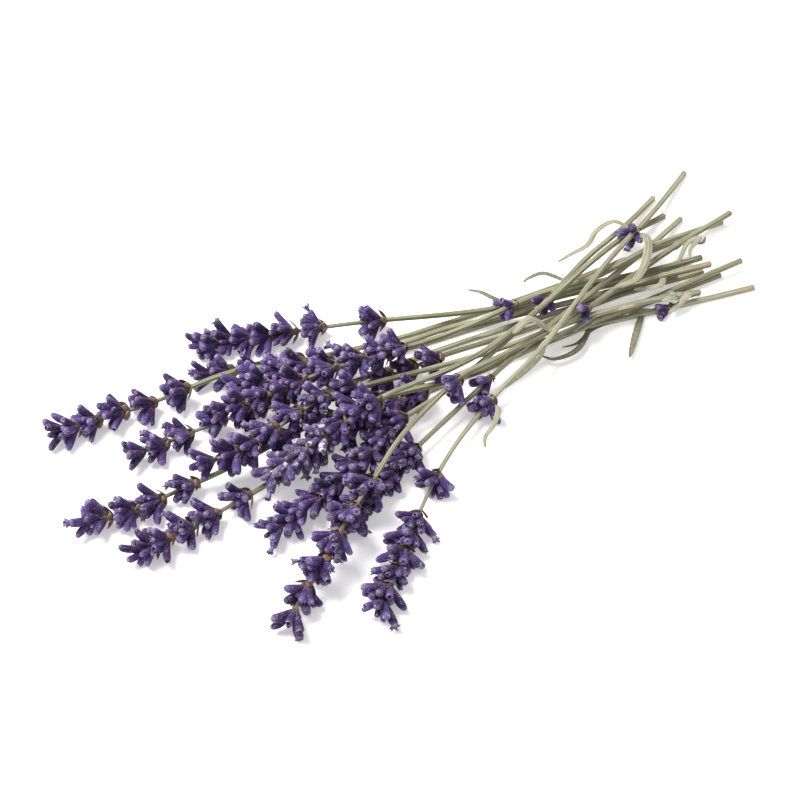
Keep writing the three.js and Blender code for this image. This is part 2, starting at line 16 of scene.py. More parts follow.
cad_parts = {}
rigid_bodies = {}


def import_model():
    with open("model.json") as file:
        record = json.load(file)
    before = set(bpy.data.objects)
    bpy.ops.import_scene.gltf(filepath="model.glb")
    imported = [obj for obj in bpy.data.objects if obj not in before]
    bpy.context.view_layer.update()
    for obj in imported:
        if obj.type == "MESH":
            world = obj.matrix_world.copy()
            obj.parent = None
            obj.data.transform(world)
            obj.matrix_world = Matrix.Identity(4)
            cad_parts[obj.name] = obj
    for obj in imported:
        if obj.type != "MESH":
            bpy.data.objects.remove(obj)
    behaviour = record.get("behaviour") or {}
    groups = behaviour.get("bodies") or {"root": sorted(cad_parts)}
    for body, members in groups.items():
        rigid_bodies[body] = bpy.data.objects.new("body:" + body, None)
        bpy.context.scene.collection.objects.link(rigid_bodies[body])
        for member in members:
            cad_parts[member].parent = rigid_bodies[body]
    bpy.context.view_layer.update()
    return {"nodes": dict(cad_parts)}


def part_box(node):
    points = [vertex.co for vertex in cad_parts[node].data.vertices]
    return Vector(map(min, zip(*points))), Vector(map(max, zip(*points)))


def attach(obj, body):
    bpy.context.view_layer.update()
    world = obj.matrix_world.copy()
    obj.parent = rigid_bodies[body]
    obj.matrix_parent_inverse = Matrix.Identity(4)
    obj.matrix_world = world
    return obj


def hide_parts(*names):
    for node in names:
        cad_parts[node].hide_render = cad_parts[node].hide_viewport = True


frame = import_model()

MM = 0.001  # one millimetre, in metres

# ---------------------------------------------------------------- sizes shared with the solids

CLEARANCE = 0.35  # kept between two stalks
STEM_HALF_AT_CUT = 0.86  # half the side of a square stem
STEM_HALF_AT_NECK = 0.68
STEM_RINGS = 22
CORNER_REACH = 1.27  # how far a square stem reaches for its half side
RACHIS_RADIUS = 0.85  # the thin stalk in the middle of a flower head
RACHIS_END_RADIUS = 0.65
HEAD_CORE = 4.0  # how near another stalk comes to the middle of a head
HEAD_ON_FLOOR = 3.6  # how high the middle of a head lies
NECK_BLEND = 6  # length over which a stem's reach grows to the head's
NECK_BEHIND = 3  # how far the neck is behind the first whorl

CALYX_LENGTH = 7.2
MOUTH_HALF = 0.95
INNER_WIDTH = 0.7
OUTER_WIDTH = 1.1
ROOT_LENGTH = 1.1
HEAD_SIDES = 8
STEM_SIDES = 4
HEAD_LEANS = (54, 27)  # degrees between a calyx and its stalk, by turns
BUD_LEANS = (42,)
LAST_LEANS = (34,)
BUD_SIZE = 0.75
LAST_WHORL = 5.6  # how far back from the tip the last whorl is
LEAN_JITTER = 5
SPIN_JITTER = 5
WHORL_TWIST = 22.5

STATIONS = 64
SPRING_LOAD = 4e-5
HEAD_WEIGHT = 3
SETTLING_ROUNDS = 200
NO_PUSH = 1e-12  # a push or a height smaller than these counts as none
NO_HEIGHT = 1e-9
CURVE_DIVISIONS = 200

LEAF_THICKNESS = 0.6
LEAF_LIFTS = (0, 0.7, 1.4, 2.1, -0.7, 2.8, -1.4, 3.5, 4.2)

# Ways that a calyx may be bent clear of its neighbours: shares of its lean, turns round the stalk in
# degrees, and shares of its size.
BENDS = (
    (1, 0, 1), (0.8, 0, 1), (1, 18, 1), (1, -18, 1), (1.25, 0, 1),
    (0.8, 18, 1), (0.8, -18, 1), (0.6, 0, 1), (1.25, 24, 0.85), (1.25, -24, 0.85),
    (0.6, 24, 0.85), (0.6, -24, 0.85), (0.4, 0, 0.85), (1, 0, 0.7), (0.7, 30, 0.7),
    (0.7, -30, 0.7), (0.4, 0, 0.7), (1.4, 0, 0.7), (0.5, 40, 0.6), (0.5, -40, 0.6),
)

# In laying order, each resting on those before it: the line of the stalk seen from above, from its cut
# end to its tip, then distances back from the tip to the whorls of the head, and to the single whorls of
# buds on the bare stem.
STALKS = (
    dict(plan=((118, 21), (58, 24), (-17, 33), (-48, 43)), whorls=(33, 27, 20, 11)),
    dict(plan=((116, 5), (66, 13), (21, 18), (-24, 20), (-49, 23), (-80, 24)), whorls=(41, 31, 20, 12)),
    dict(
        plan=((120, 1), (75, 3), (38, 4), (2, 4), (-24, 0), (-56, -7), (-96, -11)),
        whorls=(40, 29, 21, 13, 8), buds=(80, 70),
    ),
    dict(plan=((126, -9), (80, 0), (38, 4), (10, 2), (-19, 1)), whorls=(28, 19, 10), buds=(116.5,)),
    dict(plan=((106, 6), (79, 9), (58, 11), (-4, 14)), whorls=(25, 16, 8)),
    dict(
        plan=((128, 1), (85, 1), (51, 1), (13, -1), (-32, 4), (-67, 5), (-88, 5), (-104, 9)),
        whorls=(37, 26, 17.5, 9.5), buds=(90, 80, 70),
    ),
    dict(
        plan=((109, -3), (59, 3), (19, 8), (-16, 8), (-47, 4), (-66, 6)),
        whorls=(55, 45, 35, 26, 19, 13),
    ),
    dict(
        plan=((117, 3), (79, 10), (47, 19), (17, 23), (-19, 29), (-44, 37), (-97, 44)),
        whorls=(44, 33, 24, 15.5, 9),
    ),
    dict(plan=((115, 11), (54, 17), (28, 23), (-7, 23), (-43, 30)), whorls=(41, 32, 24, 18, 11)),
    dict(plan=((118, 9), (82, 14), (54, 17), (13, 36), (-44, 56)), whorls=(61, 42, 33, 26, 20, 14, 9)),
    dict(plan=((124, 29), (79, 10), (17, -8), (-40, -31)), whorls=(39, 28, 19, 9), buds=(74,)),
    dict(
        plan=((135, 21), (110, 19), (81, 13), (52, 16), (-14, 16), (-53, 21)),
        whorls=(63, 57, 49, 39, 29, 24, 18, 11), buds=(103.5,),
    ),
    dict(
        plan=((122, 42), (89, 26), (59, 10), (19, -3), (-5, -7), (-22, -15), (-58, -23)),
        whorls=(58, 48, 36, 26, 20, 11), buds=(123,),
    ),
    dict(plan=((120, 33), (98, 27), (63, 10), (29, 1), (-9, -2), (-51, -7)), whorls=(42, 30, 23, 16, 10)),
    dict(
        plan=(
            (138, 21), (109, 15), (70, 3), (34, -2), (18, -4), (-6, -13.5),
            (-25, -26.5), (-46, -40), (-57, -46), (-68, -55),
        ),
        whorls=(52, 41, 31.5, 23, 13.5), buds=(152, 100),
    ),
    dict(
        plan=((138, 47), (108, 29), (56, -1), (24.5, -11.5), (-3.5, -28), (-44.5, -64)),
        whorls=(54, 38, 31.5, 24.5, 17.5, 11), buds=(175, 88),
    ),
)

# The stalk that a leaf grows from, how far back from its tip, half its width, and points on its way.
# Those that the photo shows dark are marked.
LEAVES = (
    dict(stalk=16, back=175, half=0.8, through=(
        (99, 32, 9), (92, 32, 8), (86, 28, 8), (80, 28, 7), (74, 27, 7),
    )),
    dict(stalk=16, back=174, half=1.15, through=((103, 19, 8), (97, 11, 8.5), (89, 5, 9), (81, 5, 9))),
    dict(stalk=15, back=198, half=0.6, dark=True, through=((117, 14, 6), (120, 12, 6), (122, 13, 7))),
    dict(stalk=10, back=161.5, half=0.7, through=(
        (115, 13, 3.5), (119, 12, 4.5), (113, 9, 5), (110, 5, 5.5),
    )),
    dict(stalk=8, back=202, half=0.9, through=((97, 2, 7.2), (94, 2, 7.5), (88, 4, 7.5))),
    dict(stalk=7, back=168, half=0.9, through=((98, -3, 5), (94, -2, 5))),
    dict(stalk=4, back=112.5, half=0.8, through=((88, 0, 1.6), (84, 1, 1.6))),
    dict(stalk=7, back=172.5, half=0.95, through=((104, -4, 3.4), (100, -5, 2), (95, -6, 0.8))),
    dict(stalk=4, back=107.5, half=0.95, dark=True, through=(
        (82, -7, 1.3), (78, -11, 1.3), (74, -15, 1.3),
    )),
    dict(stalk=4, back=89.5, half=0.8, dark=True, through=((61, -5, 2.5), (53, -5, 2.5), (50, -2, 2.5))),
    dict(stalk=16, back=112.5, half=0.75, dark=True, through=(
        (46, -7, 10.5), (41, -9, 9.5), (30, -12, 8.5),
    )),
    dict(stalk=15, back=137, half=1.2, through=((48, 3, 11.5), (40, 0, 12))),
    dict(stalk=15, back=128.5, half=0.9, through=((41, -1, 11), (35, -2, 11))),
    dict(stalk=6, back=175.5, half=0.95, through=((63, -1, 6.3), (57, 0, 6.3))),
    dict(stalk=13, back=132.5, half=0.7, dark=True, through=(
        (64, 20, 13), (59, 21, 12.5), (57, 21, 11.5),
    )),
    dict(stalk=10, back=102.5, half=0.7, dark=True, through=((47, 23, 8), (45, 27, 8), (42, 30, 8))),
    dict(stalk=16, back=86.5, half=0.7, through=(
        (25, -16, 5.3), (21, -20, 4.3), (17, -22, 3.3), (15, -25, 2.3),
    )),
)

# Small dry leaves that lie among the stems, too slight for the solids.
SMALL_LEAVES = (
    dict(stalk=7, back=142, half=0.9, through=((70, 1, 7.2), (63, 0, 6.6), (57, 0, 6.2))),
    dict(stalk=7, back=170.5, half=0.75, through=((100, -2, 4.7), (98, 0, 4.7), (93, -2, 5.6))),
    dict(stalk=7, back=154.5, half=0.65, through=((82, -1, 7.4), (77, 1, 6.6), (73, 0, 6.2))),
    dict(stalk=2, back=128, half=0.75, through=((43, 15, 1.9), (37, 16, 1.8))),
    dict(stalk=11, back=94, half=0.8, through=((43, -1, 9), (35, -3, 9.4))),
    dict(stalk=12, back=150, half=0.7, through=((88, 15, 10), (82, 13, 9.5), (77, 14, 8.5))),
    dict(stalk=4, back=98, half=0.5, dark=True, through=((70, 0, 2.2), (63, -2, 1.6), (58, -1, 1.4))),
)

# Lots that the solids don't have: the shades of stems and leaves, and the turn of the bracts. They are
# seeded with the number of the stalk or the leaf and one of these.
STEM_LOTS = 100
LEAF_LOTS = 200
BRACT_LOTS = 300

# ---------------------------------------------------------------- laying the stalks down

UP = np.array([0.0, 0.0, 1.0])


def curve_points(corners, at):
    """Points of a smooth curve through the corners, at shares of its way from 0 to 1."""
    corners = np.asarray(corners, float)
    before, after = 2 * corners[0] - corners[1], 2 * corners[-1] - corners[-2]
    padded = np.vstack([before, corners, after])
    spans = len(corners) - 1
    place = np.asarray(at) * spans
    span = np.minimum(place.astype(int), spans - 1)
    w = (place - span)[:, None]
    a, b, c, d = (padded[span + k] for k in range(4))
    bent = (2 * a - 5 * b + 4 * c - d) * w**2 + (3 * b - a - 3 * c + d) * w**3
    return 0.5 * (2 * b + (c - a) * w + bent)


def even_curve(corners, count):
    """Evenly spaced points of that curve, and its length."""
    at = np.linspace(0, 1, CURVE_DIVISIONS + 1)
    steps = np.linalg.norm(np.diff(curve_points(corners, at), axis=0), axis=1)
    run = np.concatenate([[0], np.cumsum(steps)])
    return curve_points(corners, np.interp(np.linspace(0, run[-1], count), run, at)), run[-1]


def unit(vector):
    return vector / np.linalg.norm(vector)


class Place:
    """A point with its own directions: ahead along the stalk, side level, and over upward."""

    def __init__(self, point, direction):
        self.point = point
        self.ahead = unit(direction)
        self.side = unit(np.cross(UP, self.ahead))
        self.over = np.cross(self.ahead, self.side)

    def outward(self, spin):
        angle = math.radians(spin)
        return math.cos(angle) * self.side + math.sin(angle) * self.over

    def ring(self, radius, sides, turn):
        """Corners of an even ring, pressed flat where they would go below the floor."""
        spins = [turn + (k - 0.5) * 360 / sides for k in range(sides)]
        corners = np.array([self.point + radius * self.outward(spin) for spin in spins])
        corners[:, 2] = np.maximum(corners[:, 2], 0)
        return corners


class Stalk:
    """The driving sizes of a stalk, and once it is laid, the line that it lies along."""

    def __init__(self, plan, whorls, buds=()):
        self.neck, self.whorls, self.buds = whorls[0] + NECK_BEHIND, whorls, buds
        self.fine, self.length = even_curve(plan, 2 * STATIONS - 1)
        self.step = self.length / (STATIONS - 1)
        self.backs = self.length - np.arange(STATIONS) * self.step

    def stem_half(self, back):
        share = np.minimum((self.length - back) / (self.length - self.neck), 1)
        return STEM_HALF_AT_CUT + (STEM_HALF_AT_NECK - STEM_HALF_AT_CUT) * share

    def corner_radius(self, back):
        return math.sqrt(2) * self.stem_half(back)

    def rachis_radius(self, back):
        return RACHIS_END_RADIUS + (RACHIS_RADIUS - RACHIS_END_RADIUS) * back / self.neck

    def reach(self, back):
        stem = CORNER_REACH * self.stem_half(back)
        return stem + (HEAD_CORE - stem) * np.clip((self.neck - back) / NECK_BLEND, 0, 1)

    def lay_over(self, laid):
        backs = self.length - np.arange(2 * STATIONS - 1) * self.step / 2
        need = np.where(backs > self.neck, self.stem_half(backs), HEAD_ON_FLOOR)
        for other in laid:
            need = np.maximum(need, height_over(self, backs, other))
        rows = range(STATIONS)
        support = np.array([need[max(0, 2 * i - 1) : 2 * i + 2].max() for i in rows])
        load = SPRING_LOAD * self.step**4 * np.where(self.backs > self.neck, 1, HEAD_WEIGHT)
        self.points = np.column_stack([self.fine[::2], settle(support, load)])

    def at(self, back):
        where = min(max((self.length - back) / self.step, 0), STATIONS - 1)
        i = min(int(where), STATIONS - 2)
        point = self.points[i] + (where - i) * (self.points[i + 1] - self.points[i])
        before, after = self.points[max(i - 1, 0)], self.points[min(i + 2, STATIONS - 1)]
        return Place(point, after - before)


def height_over(stalk, backs, other):
    """Height that the points of a stalk need to clear one that is laid already."""
    start = other.points[:-1]
    way = other.points[1:] - start
    off = stalk.fine[:, None] - start[None, :, :2]
    share = np.clip((off * way[None, :, :2]).sum(2) / (way[:, :2] ** 2).sum(1), 0, 1)
    near = start[None] + share[..., None] * way[None]
    apart = np.linalg.norm(near[..., :2] - stalk.fine[:, None], axis=2)
    clear = stalk.reach(backs)[:, None] + other.reach(other.backs)[None, :-1] + CLEARANCE
    rise = np.sqrt(np.maximum(clear**2 - apart**2, 0))
    return np.where(apart < clear, near[..., 2] + rise, 0).max(1)


def settle(support, load):
    """Heights of the lowest springy line that stays on or above its supports."""
    bend = np.zeros((STATIONS, STATIONS))
    for k in range(1, STATIONS - 1):
        bend[k - 1 : k + 2, k - 1 : k + 2] += np.outer([1, -2, 1], [1, -2, 1])
    held = np.ones(STATIONS, bool)
    for _ in range(SETTLING_ROUNDS):
        rows = np.where(held[:, None], np.eye(STATIONS), bend)
        heights = np.linalg.solve(rows, np.where(held, support, -load))
        push = bend @ heights + load
        wanted = np.where(held, push > -NO_PUSH, heights < support - NO_HEIGHT)
        if (wanted == held).all():
            break
        held = wanted
    return np.maximum(heights, support)


def lay_all():
    laid = []
    for sizes in STALKS:
        stalk = Stalk(**sizes)
        stalk.lay_over(laid)
        laid.append(stalk)
    return laid


# ---------------------------------------------------------------- where the solids are

MATCH = 0.05  # a corner this near to one of the solid's is the same corner
WORD = 0xFFFFFFFF
STALK_NODES = [(f"stem_{number:02d}", f"head_{number:02d}") for number in range(1, len(STALKS) + 1)]
PLAIN = 5  # this stalk bears no leaves or buds, so its solid has the box of its plain rings


def shift_of_solids(stalk, node):
    """How far the solids are moved so that their box is centred: one plain stem shows it."""
    backs = np.linspace(stalk.length, stalk.neck + CLEARANCE, STEM_RINGS)
    rings = [stalk.at(back).ring(stalk.corner_radius(back), STEM_SIDES, 0) for back in backs]
    corners = np.vstack(rings)
    own = (corners.min(0) + corners.max(0)) / 2
    low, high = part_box(node)
    centre = (np.array(low) + np.array(high)) / 2 / MM
    return np.array([centre[0] - own[0], centre[1] - own[1], 0.0])


def corners_of(node, shift):
    """The corners of a solid, to look up a point in, in the frame the stalks are laid in."""
    corners = frame["nodes"][node].data.vertices
    tree = KDTree(len(corners))
    for corner in corners:
        tree.insert(Vector(np.array(corner.co) / MM - shift), corner.index)
    tree.balance()
    return tree


class Lots:
    """Seeded lots, drawn as in the solids. The shifts and factors are those of their small generator."""

    def __init__(self, seed):
        self.state = seed

    def draw(self):
        self.state = (self.state + 0x6D2B79F5) & WORD
        mixed = self.state
        mixed = (mixed ^ (mixed >> 15)) * (mixed | 1) & WORD
        mixed ^= (mixed + (mixed ^ (mixed >> 7)) * (mixed | 61)) & WORD
        return ((mixed ^ (mixed >> 14)) & WORD) / 2**32

    def either(self, most):
        return (2 * self.draw() - 1) * most


class Sprig:
    """Something that grows out of a stalk: where, which way, how large, and in which whorl."""

    def __init__(self, root, along, out, size, whorl):
        self.root, self.along, self.out = root, unit(along), unit(out)
        self.size, self.whorl, self.is_bud = size, whorl, False


def leaning(place, root, spin, lean, size, whorl):
    """A sprig that leans away from its stalk by so many degrees."""
    away = place.outward(spin)
    angle = math.radians(lean)
    along = math.cos(angle) * place.ahead + math.sin(angle) * away
    return Sprig(root, along, np.cross(np.cross(place.ahead, away), along), size, whorl)


def mouth_corners(sprig, across):
    """Corners of the flat end that a solid calyx has."""
    over = np.cross(sprig.along, across)
    end = sprig.root + sprig.size * CALYX_LENGTH * sprig.along
    widths = ((-OUTER_WIDTH, -1), (OUTER_WIDTH, -1), (INNER_WIDTH, 1), (-INNER_WIDTH, 1))
    corners = [end + sprig.size * MOUTH_HALF * (a * across + o * over) for a, o in widths]
    return [(x, y, max(z, 0)) for x, y, z in corners]


def bent_as_solid(place, root, spin, lean, full_size, solid, whorl):
    """The calyx that the solid has at this root, or None."""
    for lean_share, turn, size_share in BENDS:
        sprig = leaning(place, root, spin + turn, lean * lean_share, full_size * size_share, whorl)
        across = np.cross(place.ahead, place.outward(spin + turn))
        if all(solid.find(corner)[2] < MATCH for corner in mouth_corners(sprig, across)):
            return sprig
    return None


def whorl_of_calyces(stalk, back, radius, sides, turn, leans, full_size, lots, solid):
    """The calyces that the solid has round one place of its stalk."""
    ends = [stalk.at(back + half * ROOT_LENGTH).ring(radius, sides, turn) for half in (0.5, -0.5)]
    found = []
    for k in range(sides):
        after = (k + 1) % sides
        root = (ends[0][k] + ends[0][after] + ends[1][k] + ends[1][after]) / 4
        spin = turn + k * 360 / sides + lots.either(SPIN_JITTER)
        lean = leans[k % len(leans)] + lots.either(LEAN_JITTER)
        found.append(bent_as_solid(stalk.at(back), root, spin, lean, full_size, solid, back))
    return [sprig for sprig in found if sprig]


def calyces_of(stalk, number, shift):
    """The buds on the bare stem and the calyces of the head, each where the solids have one."""
    lots = Lots(number)
    stem, head = (corners_of(node, shift) for node in STALK_NODES[number - 1])
    found = []
    for back in sorted(stalk.buds, reverse=True):
        shape = (stalk.corner_radius(back), STEM_SIDES, 0, BUD_LEANS, BUD_SIZE)
        found += whorl_of_calyces(stalk, back, *shape, lots, stem)
    for bud in found:
        bud.is_bud = True
    start = 360 * lots.draw()
    for k, back in enumerate((*stalk.whorls, LAST_WHORL)):
        leans = LAST_LEANS if back == LAST_WHORL else HEAD_LEANS
        shape = (stalk.rachis_radius(back), HEAD_SIDES, start + k * WHORL_TWIST, leans, 1)
        found += whorl_of_calyces(stalk, back, *shape, lots, head)
    tip = stalk.at(LAST_WHORL)
    found.append(Sprig(tip.point, tip.ahead, tip.over, LAST_WHORL / CALYX_LENGTH, LAST_WHORL))
    return found


# ---------------------------------------------------------------- writing node trees


class Tree:
    """A node tree, and short ways to add to it. What feeds an input is a plain value or an output."""

    def __init__(self, tree):
        self.tree = tree

    def feed(self, socket, value):
        if isinstance(value, bpy.types.NodeSocket):
            self.tree.links.new(value, socket)
        else:
            socket.default_value = value

    def add(self, kind, inputs=None, **settings):
        """Adds a node, and gives back its outputs."""
        node = self.tree.nodes.new(kind)
        for name, value in settings.items():
            setattr(node, name, value)
        for name, value in (inputs or {}).items():
            self.feed(node.inputs[name], value)
        return node.outputs

    def group(self, group, **inputs):
        return self.add("ShaderNodeGroup", inputs, node_tree=group)

    def named(self, name, kind="FLOAT"):
        """An attribute, in a Geometry Nodes tree."""
        return self.add("GeometryNodeInputNamedAttribute", {"Name": name}, data_type=kind)[0]

    def kept(self, geometry, name, value, kind, domain):
        """Geometry with a value stored in it under a name."""
        inputs = {"Geometry": geometry, "Name": name, "Value": value}
        return self.add("GeometryNodeStoreNamedAttribute", inputs, data_type=kind, domain=domain)[0]

    def random_number(self, least, most, seed):
        """A random number for each point. Its sockets go by number, as their names are shared."""
        return self.add("FunctionNodeRandomValue", {2: least, 3: most, "Seed": seed})[1]

    def math(self, operation, *values, clamp=False):
        inputs = dict(enumerate(values))
        return self.add("ShaderNodeMath", inputs, operation=operation, use_clamp=clamp)[0]

    def times(self, product, *others):
        for other in others:
            product = self.math("MULTIPLY", product, other)
        return product

    def combined(self, x, y, z):
        return self.add("ShaderNodeCombineXYZ", {0: x, 1: y, 2: z})[0]

    def separated(self, vector):
        return self.add("ShaderNodeSeparateXYZ", {0: vector})

    def step(self, value, low, high):
        """Rises smoothly from 0 to 1 as a value goes from low to high."""
        inputs = {"Value": value, "From Min": low, "From Max": high}
        return self.add("ShaderNodeMapRange", inputs, interpolation_type="SMOOTHSTEP")[0]

    def noise(self, vector, scale, detail=3.0, roughness=0.55):
        inputs = {"Vector": vector, "Scale": scale, "Detail": detail, "Roughness": roughness}
        return self.add("ShaderNodeTexNoise", inputs)[0]


def new_group(name, kind, inputs, outputs):
    """An empty node group, the sockets of what comes in, and those of what goes out."""
    group = bpy.data.node_groups.new(name, kind)
    for way, sockets in (("INPUT", inputs), ("OUTPUT", outputs)):
        for socket, holds in sockets.items():
            group.interface.new_socket(socket, in_out=way, socket_type="NodeSocket" + holds)
    given = group.nodes.new("NodeGroupInput").outputs
    return Tree(group), given, group.nodes.new("NodeGroupOutput").inputs


def finish_tree(tree, geometry, material, result):
    """Every tree ends the same way: one real mesh, smooth, with its material."""
    real = tree.add("GeometryNodeRealizeInstances", {"Geometry": geometry})[0]
    smooth = tree.add("GeometryNodeSetShadeSmooth", {"Geometry": real})[0]
    inputs = {"Geometry": smooth, "Material": material}
    tree.feed(result, tree.add("GeometryNodeSetMaterial", inputs)[0])
    return tree.tree


def sweeping_tree():
    """Draws a profile along each line of points, as wide as the attribute half says."""
    inputs = {"Lines": "Geometry", "Profile": "Object", "Material": "Material"}
    tree, given, result = new_group("sweep a profile", "GeometryNodeTree", inputs, {"Pieces": "Geometry"})
    line = tree.add("GeometryNodeMeshToCurve", {"Mesh": given["Lines"]})[0]
    upright = tree.add("GeometryNodeSetCurveNormal", {"Curve": line}, mode="Z_UP")[0]
    profile = tree.add("GeometryNodeObjectInfo", {"Object": given["Profile"]})["Geometry"]
    corner = tree.add("GeometryNodeInputPosition")[0]
    marked = tree.kept(profile, "around", corner, "FLOAT_VECTOR", "POINT")
    half = tree.named("half")
    inputs = {"Curve": upright, "Profile Curve": marked, "Scale": half, "Fill Caps": True}
    swept = tree.add("GeometryNodeCurveToMesh", inputs)[0]
    return finish_tree(tree, swept, given["Material"], result["Pieces"])


def turned_by_lot(tree, given):
    """Turned the way that the attributes of a point say, and about itself by lot."""
    along, out = tree.named("along", "FLOAT_VECTOR"), tree.named("out", "FLOAT_VECTOR")
    facing = tree.add(
        "FunctionNodeAxesToRotation",
        {"Primary Axis": along, "Secondary Axis": out},
        primary_axis="Z",
        secondary_axis="X",
    )[0]
    twist = tree.random_number(tree.times(given["Twist"], -1.0), given["Twist"], given["Seed"])
    inputs = {"Rotation": facing, "Rotate By": tree.combined(0.0, 0.0, twist)}
    return tree.add("FunctionNodeRotateRotation", inputs, rotation_space="LOCAL")[0]


def sized_by_lot(tree, given):
    """The size that a point has, made a little larger or smaller each way."""
    least, most = (tree.math(way, 1.0, given["Spread"]) for way in ("SUBTRACT", "ADD"))
    inputs = {0: least, 1: most, "Seed": given["Seed"]}
    varied = tree.add("FunctionNodeRandomValue", inputs, data_type="FLOAT_VECTOR")[0]
    inputs = {0: tree.named("size", "FLOAT_VECTOR"), 1: varied}
    return tree.add("ShaderNodeVectorMath", inputs, operation="MULTIPLY")[0]


def growing_tree():
    """Grows one of a few shapes at each point, and keeps a random shade for each of them."""
    inputs = {
        "Points": "Geometry",
        "Shapes": "Collection",
        "Spread": "Float",
        "Twist": "Float",
        "Seed": "Int",
        "Material": "Material",
    }
    tree, given, result = new_group("grow shapes", "GeometryNodeTree", inputs, {"Pieces": "Geometry"})
    inputs = {"Collection": given["Shapes"], "Separate Children": True, "Reset Children": True}
    shapes = tree.add("GeometryNodeCollectionInfo", inputs)[0]
    inputs = {
        "Points": given["Points"],
        "Instance": shapes,
        "Pick Instance": True,
        "Instance Index": tree.named("kind", "INT"),
        "Rotation": turned_by_lot(tree, given),
        "Scale": sized_by_lot(tree, given),
    }
    grown = tree.add("GeometryNodeInstanceOnPoints", inputs)[0]
    lot = tree.random_number(0.0, 1.0, given["Seed"])
    shaded = tree.kept(grown, "shade", lot, "FLOAT", "INSTANCE")
    return finish_tree(tree, shaded, given["Material"], result["Pieces"])


# ---------------------------------------------------------------- meshes

SAME_PLACE = 1e-7


def plain_mesh(name, points, faces=(), edges=()):
    mesh = bpy.data.meshes.new(name)
    mesh.from_pydata([tuple(point) for point in points], list(edges), list(faces))
    return mesh


def set_values(mesh, name, kind, values):
    """Gives each vertex of a mesh a value under a name."""
    layer = mesh.attributes.new(name, kind, "POINT")
    key = "vector" if kind == "FLOAT_VECTOR" else "value"
    layer.data.foreach_set(key, np.asarray(values).ravel())


def set_way(mesh, marks):
    """Gives each corner of a mesh's faces its place in the map named way."""
    layer = mesh.uv_layers.new(name="way")
    layer.data.foreach_set("uv", np.asarray(marks, float).ravel())


def join_edges(mesh):
    """Joins skins that meet, and turns all faces outward."""
    skin = bmesh.new()
    skin.from_mesh(mesh)
    bmesh.ops.remove_doubles(skin, verts=skin.verts, dist=SAME_PLACE)
    bmesh.ops.recalc_face_normals(skin, faces=skin.faces)
    skin.to_mesh(mesh)
    skin.free()


def new_object(name, data, collection=None):
    thing = bpy.data.objects.new(name, data)
    (collection or bpy.context.scene.collection).objects.link(thing)
    return thing


def press_on_floor(mesh):
    """Flattens on the floor whatever would go through it."""
    places = np.empty(3 * len(mesh.vertices))
    mesh.vertices.foreach_get("co", places)
    places[2::3] = np.maximum(places[2::3], 0)
    mesh.vertices.foreach_set("co", places)
    mesh.update()


def evaluated_piece(name, source, tree, values, nodes=()):
    """Runs a tree on a source mesh, and makes a plain piece of what comes out."""
    maker = new_object(name + "_source", source)
    modifier = maker.modifiers.new(name, "NODES")
    modifier.node_group = tree
    for item in tree.interface.items_tree:
        if item.name in values:
            modifier[item.identifier] = values[item.name]
    graph = bpy.context.evaluated_depsgraph_get()
    mesh = bpy.data.meshes.new_from_object(
        maker.evaluated_get(graph), preserve_all_data_layers=True, depsgraph=graph
    )
    bpy.data.objects.remove(maker)
    press_on_floor(mesh)
    mesh.name = name
    piece = new_object(name, mesh)
    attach(piece, "root")
    if nodes:
        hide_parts(*nodes)


def ringed_mesh(name, root, rings, tip):
    """A closed skin from a root over rings to a tip, each given as its points and their share.

    The map of the mesh holds the turn and the share of each corner.
    """
    sides, last = len(rings[0][0]), len(rings) - 1

    def corner(ring, k):
        """Index, turn and share. In the list of points the root comes after the first ring."""
        return ring * sides + k % sides + (ring > 0), k / sides, rings[ring][1]

    def pole(index, k, share):
        return index, (k + 0.5) / sides, share

    around = range(sides)
    faces = [(pole(sides, k, root[1]), corner(0, k + 1), corner(0, k)) for k in around]
    for low in range(last):
        for k in around:
            lower, upper = [(corner(ring, k), corner(ring, k + 1)) for ring in (low, low + 1)]
            faces.append((*lower, *reversed(upper)))
    tip_index = (last + 1) * sides + 1
    faces += [(corner(last, k), corner(last, k + 1), pole(tip_index, k, tip[1])) for k in around]
    points = [*rings[0][0], root[0]]
    for ring, _ in rings[1:]:
        points += ring
    mesh = plain_mesh(name, [*points, tip[0]], [[index for index, _, _ in face] for face in faces])
    set_way(mesh, [mark for face in faces for _, *mark in face])
    return mesh


# ---------------------------------------------------------------- shapes that are grown

CALYX_SIDES = 8
CALYX_BEND = 0.28
ROOT_DEPTH = 0.6
INSIDE_STEP = 0.05

# Rings of a calyx: share of its length, radius in millimetres, and height of its teeth as a share.
WALL = ((0, 0.45, 0), (0.08, 0.75, 0), (0.22, 1.05, 0), (0.42, 1.27, 0), (0.66, 1.36, 0))
THIN_WALL = ((0, 0.42, 0), (0.1, 0.68, 0), (0.28, 0.9, 0), (0.5, 1.08, 0), (0.72, 1.02, 0))
CALYX_SHAPES = {
    "a_closed": (*WALL, (0.86, 1.27, 0), (0.955, 0.92, 0), (0.99, 0.38, 0.01), (0.965, 0, 0)),
    "b_open": (*WALL, (0.87, 1.25, 0), (0.965, 0.95, 0.014), (0.965, 0.5, 0), (0.85, 0, 0)),
    "c_pointed": (*WALL[:4], (0.7, 1.24, 0), (0.87, 1.0, 0), (0.965, 0.6, 0), (0.995, 0, 0)),
    "d_shrunk": (*THIN_WALL, (0.87, 1.0, 0), (0.97, 0.72, 0.03), (0.94, 0.4, 0), (0.88, 0, 0)),
}
OPEN_KIND = 1  # the second of these shapes may hold a dried flower

HAIRS = 18
HAIR_LENGTH = 0.62
HAIR_LENGTHS = (0.7, 1.3)  # shares of that length
HAIR_HALF = 0.055
HAIR_SLANT = (0.2, 1.1)
HAIR_SWAY = 0.4
HAIR_ROOT = 0.9
HAIRY_RADIUS = 0.8

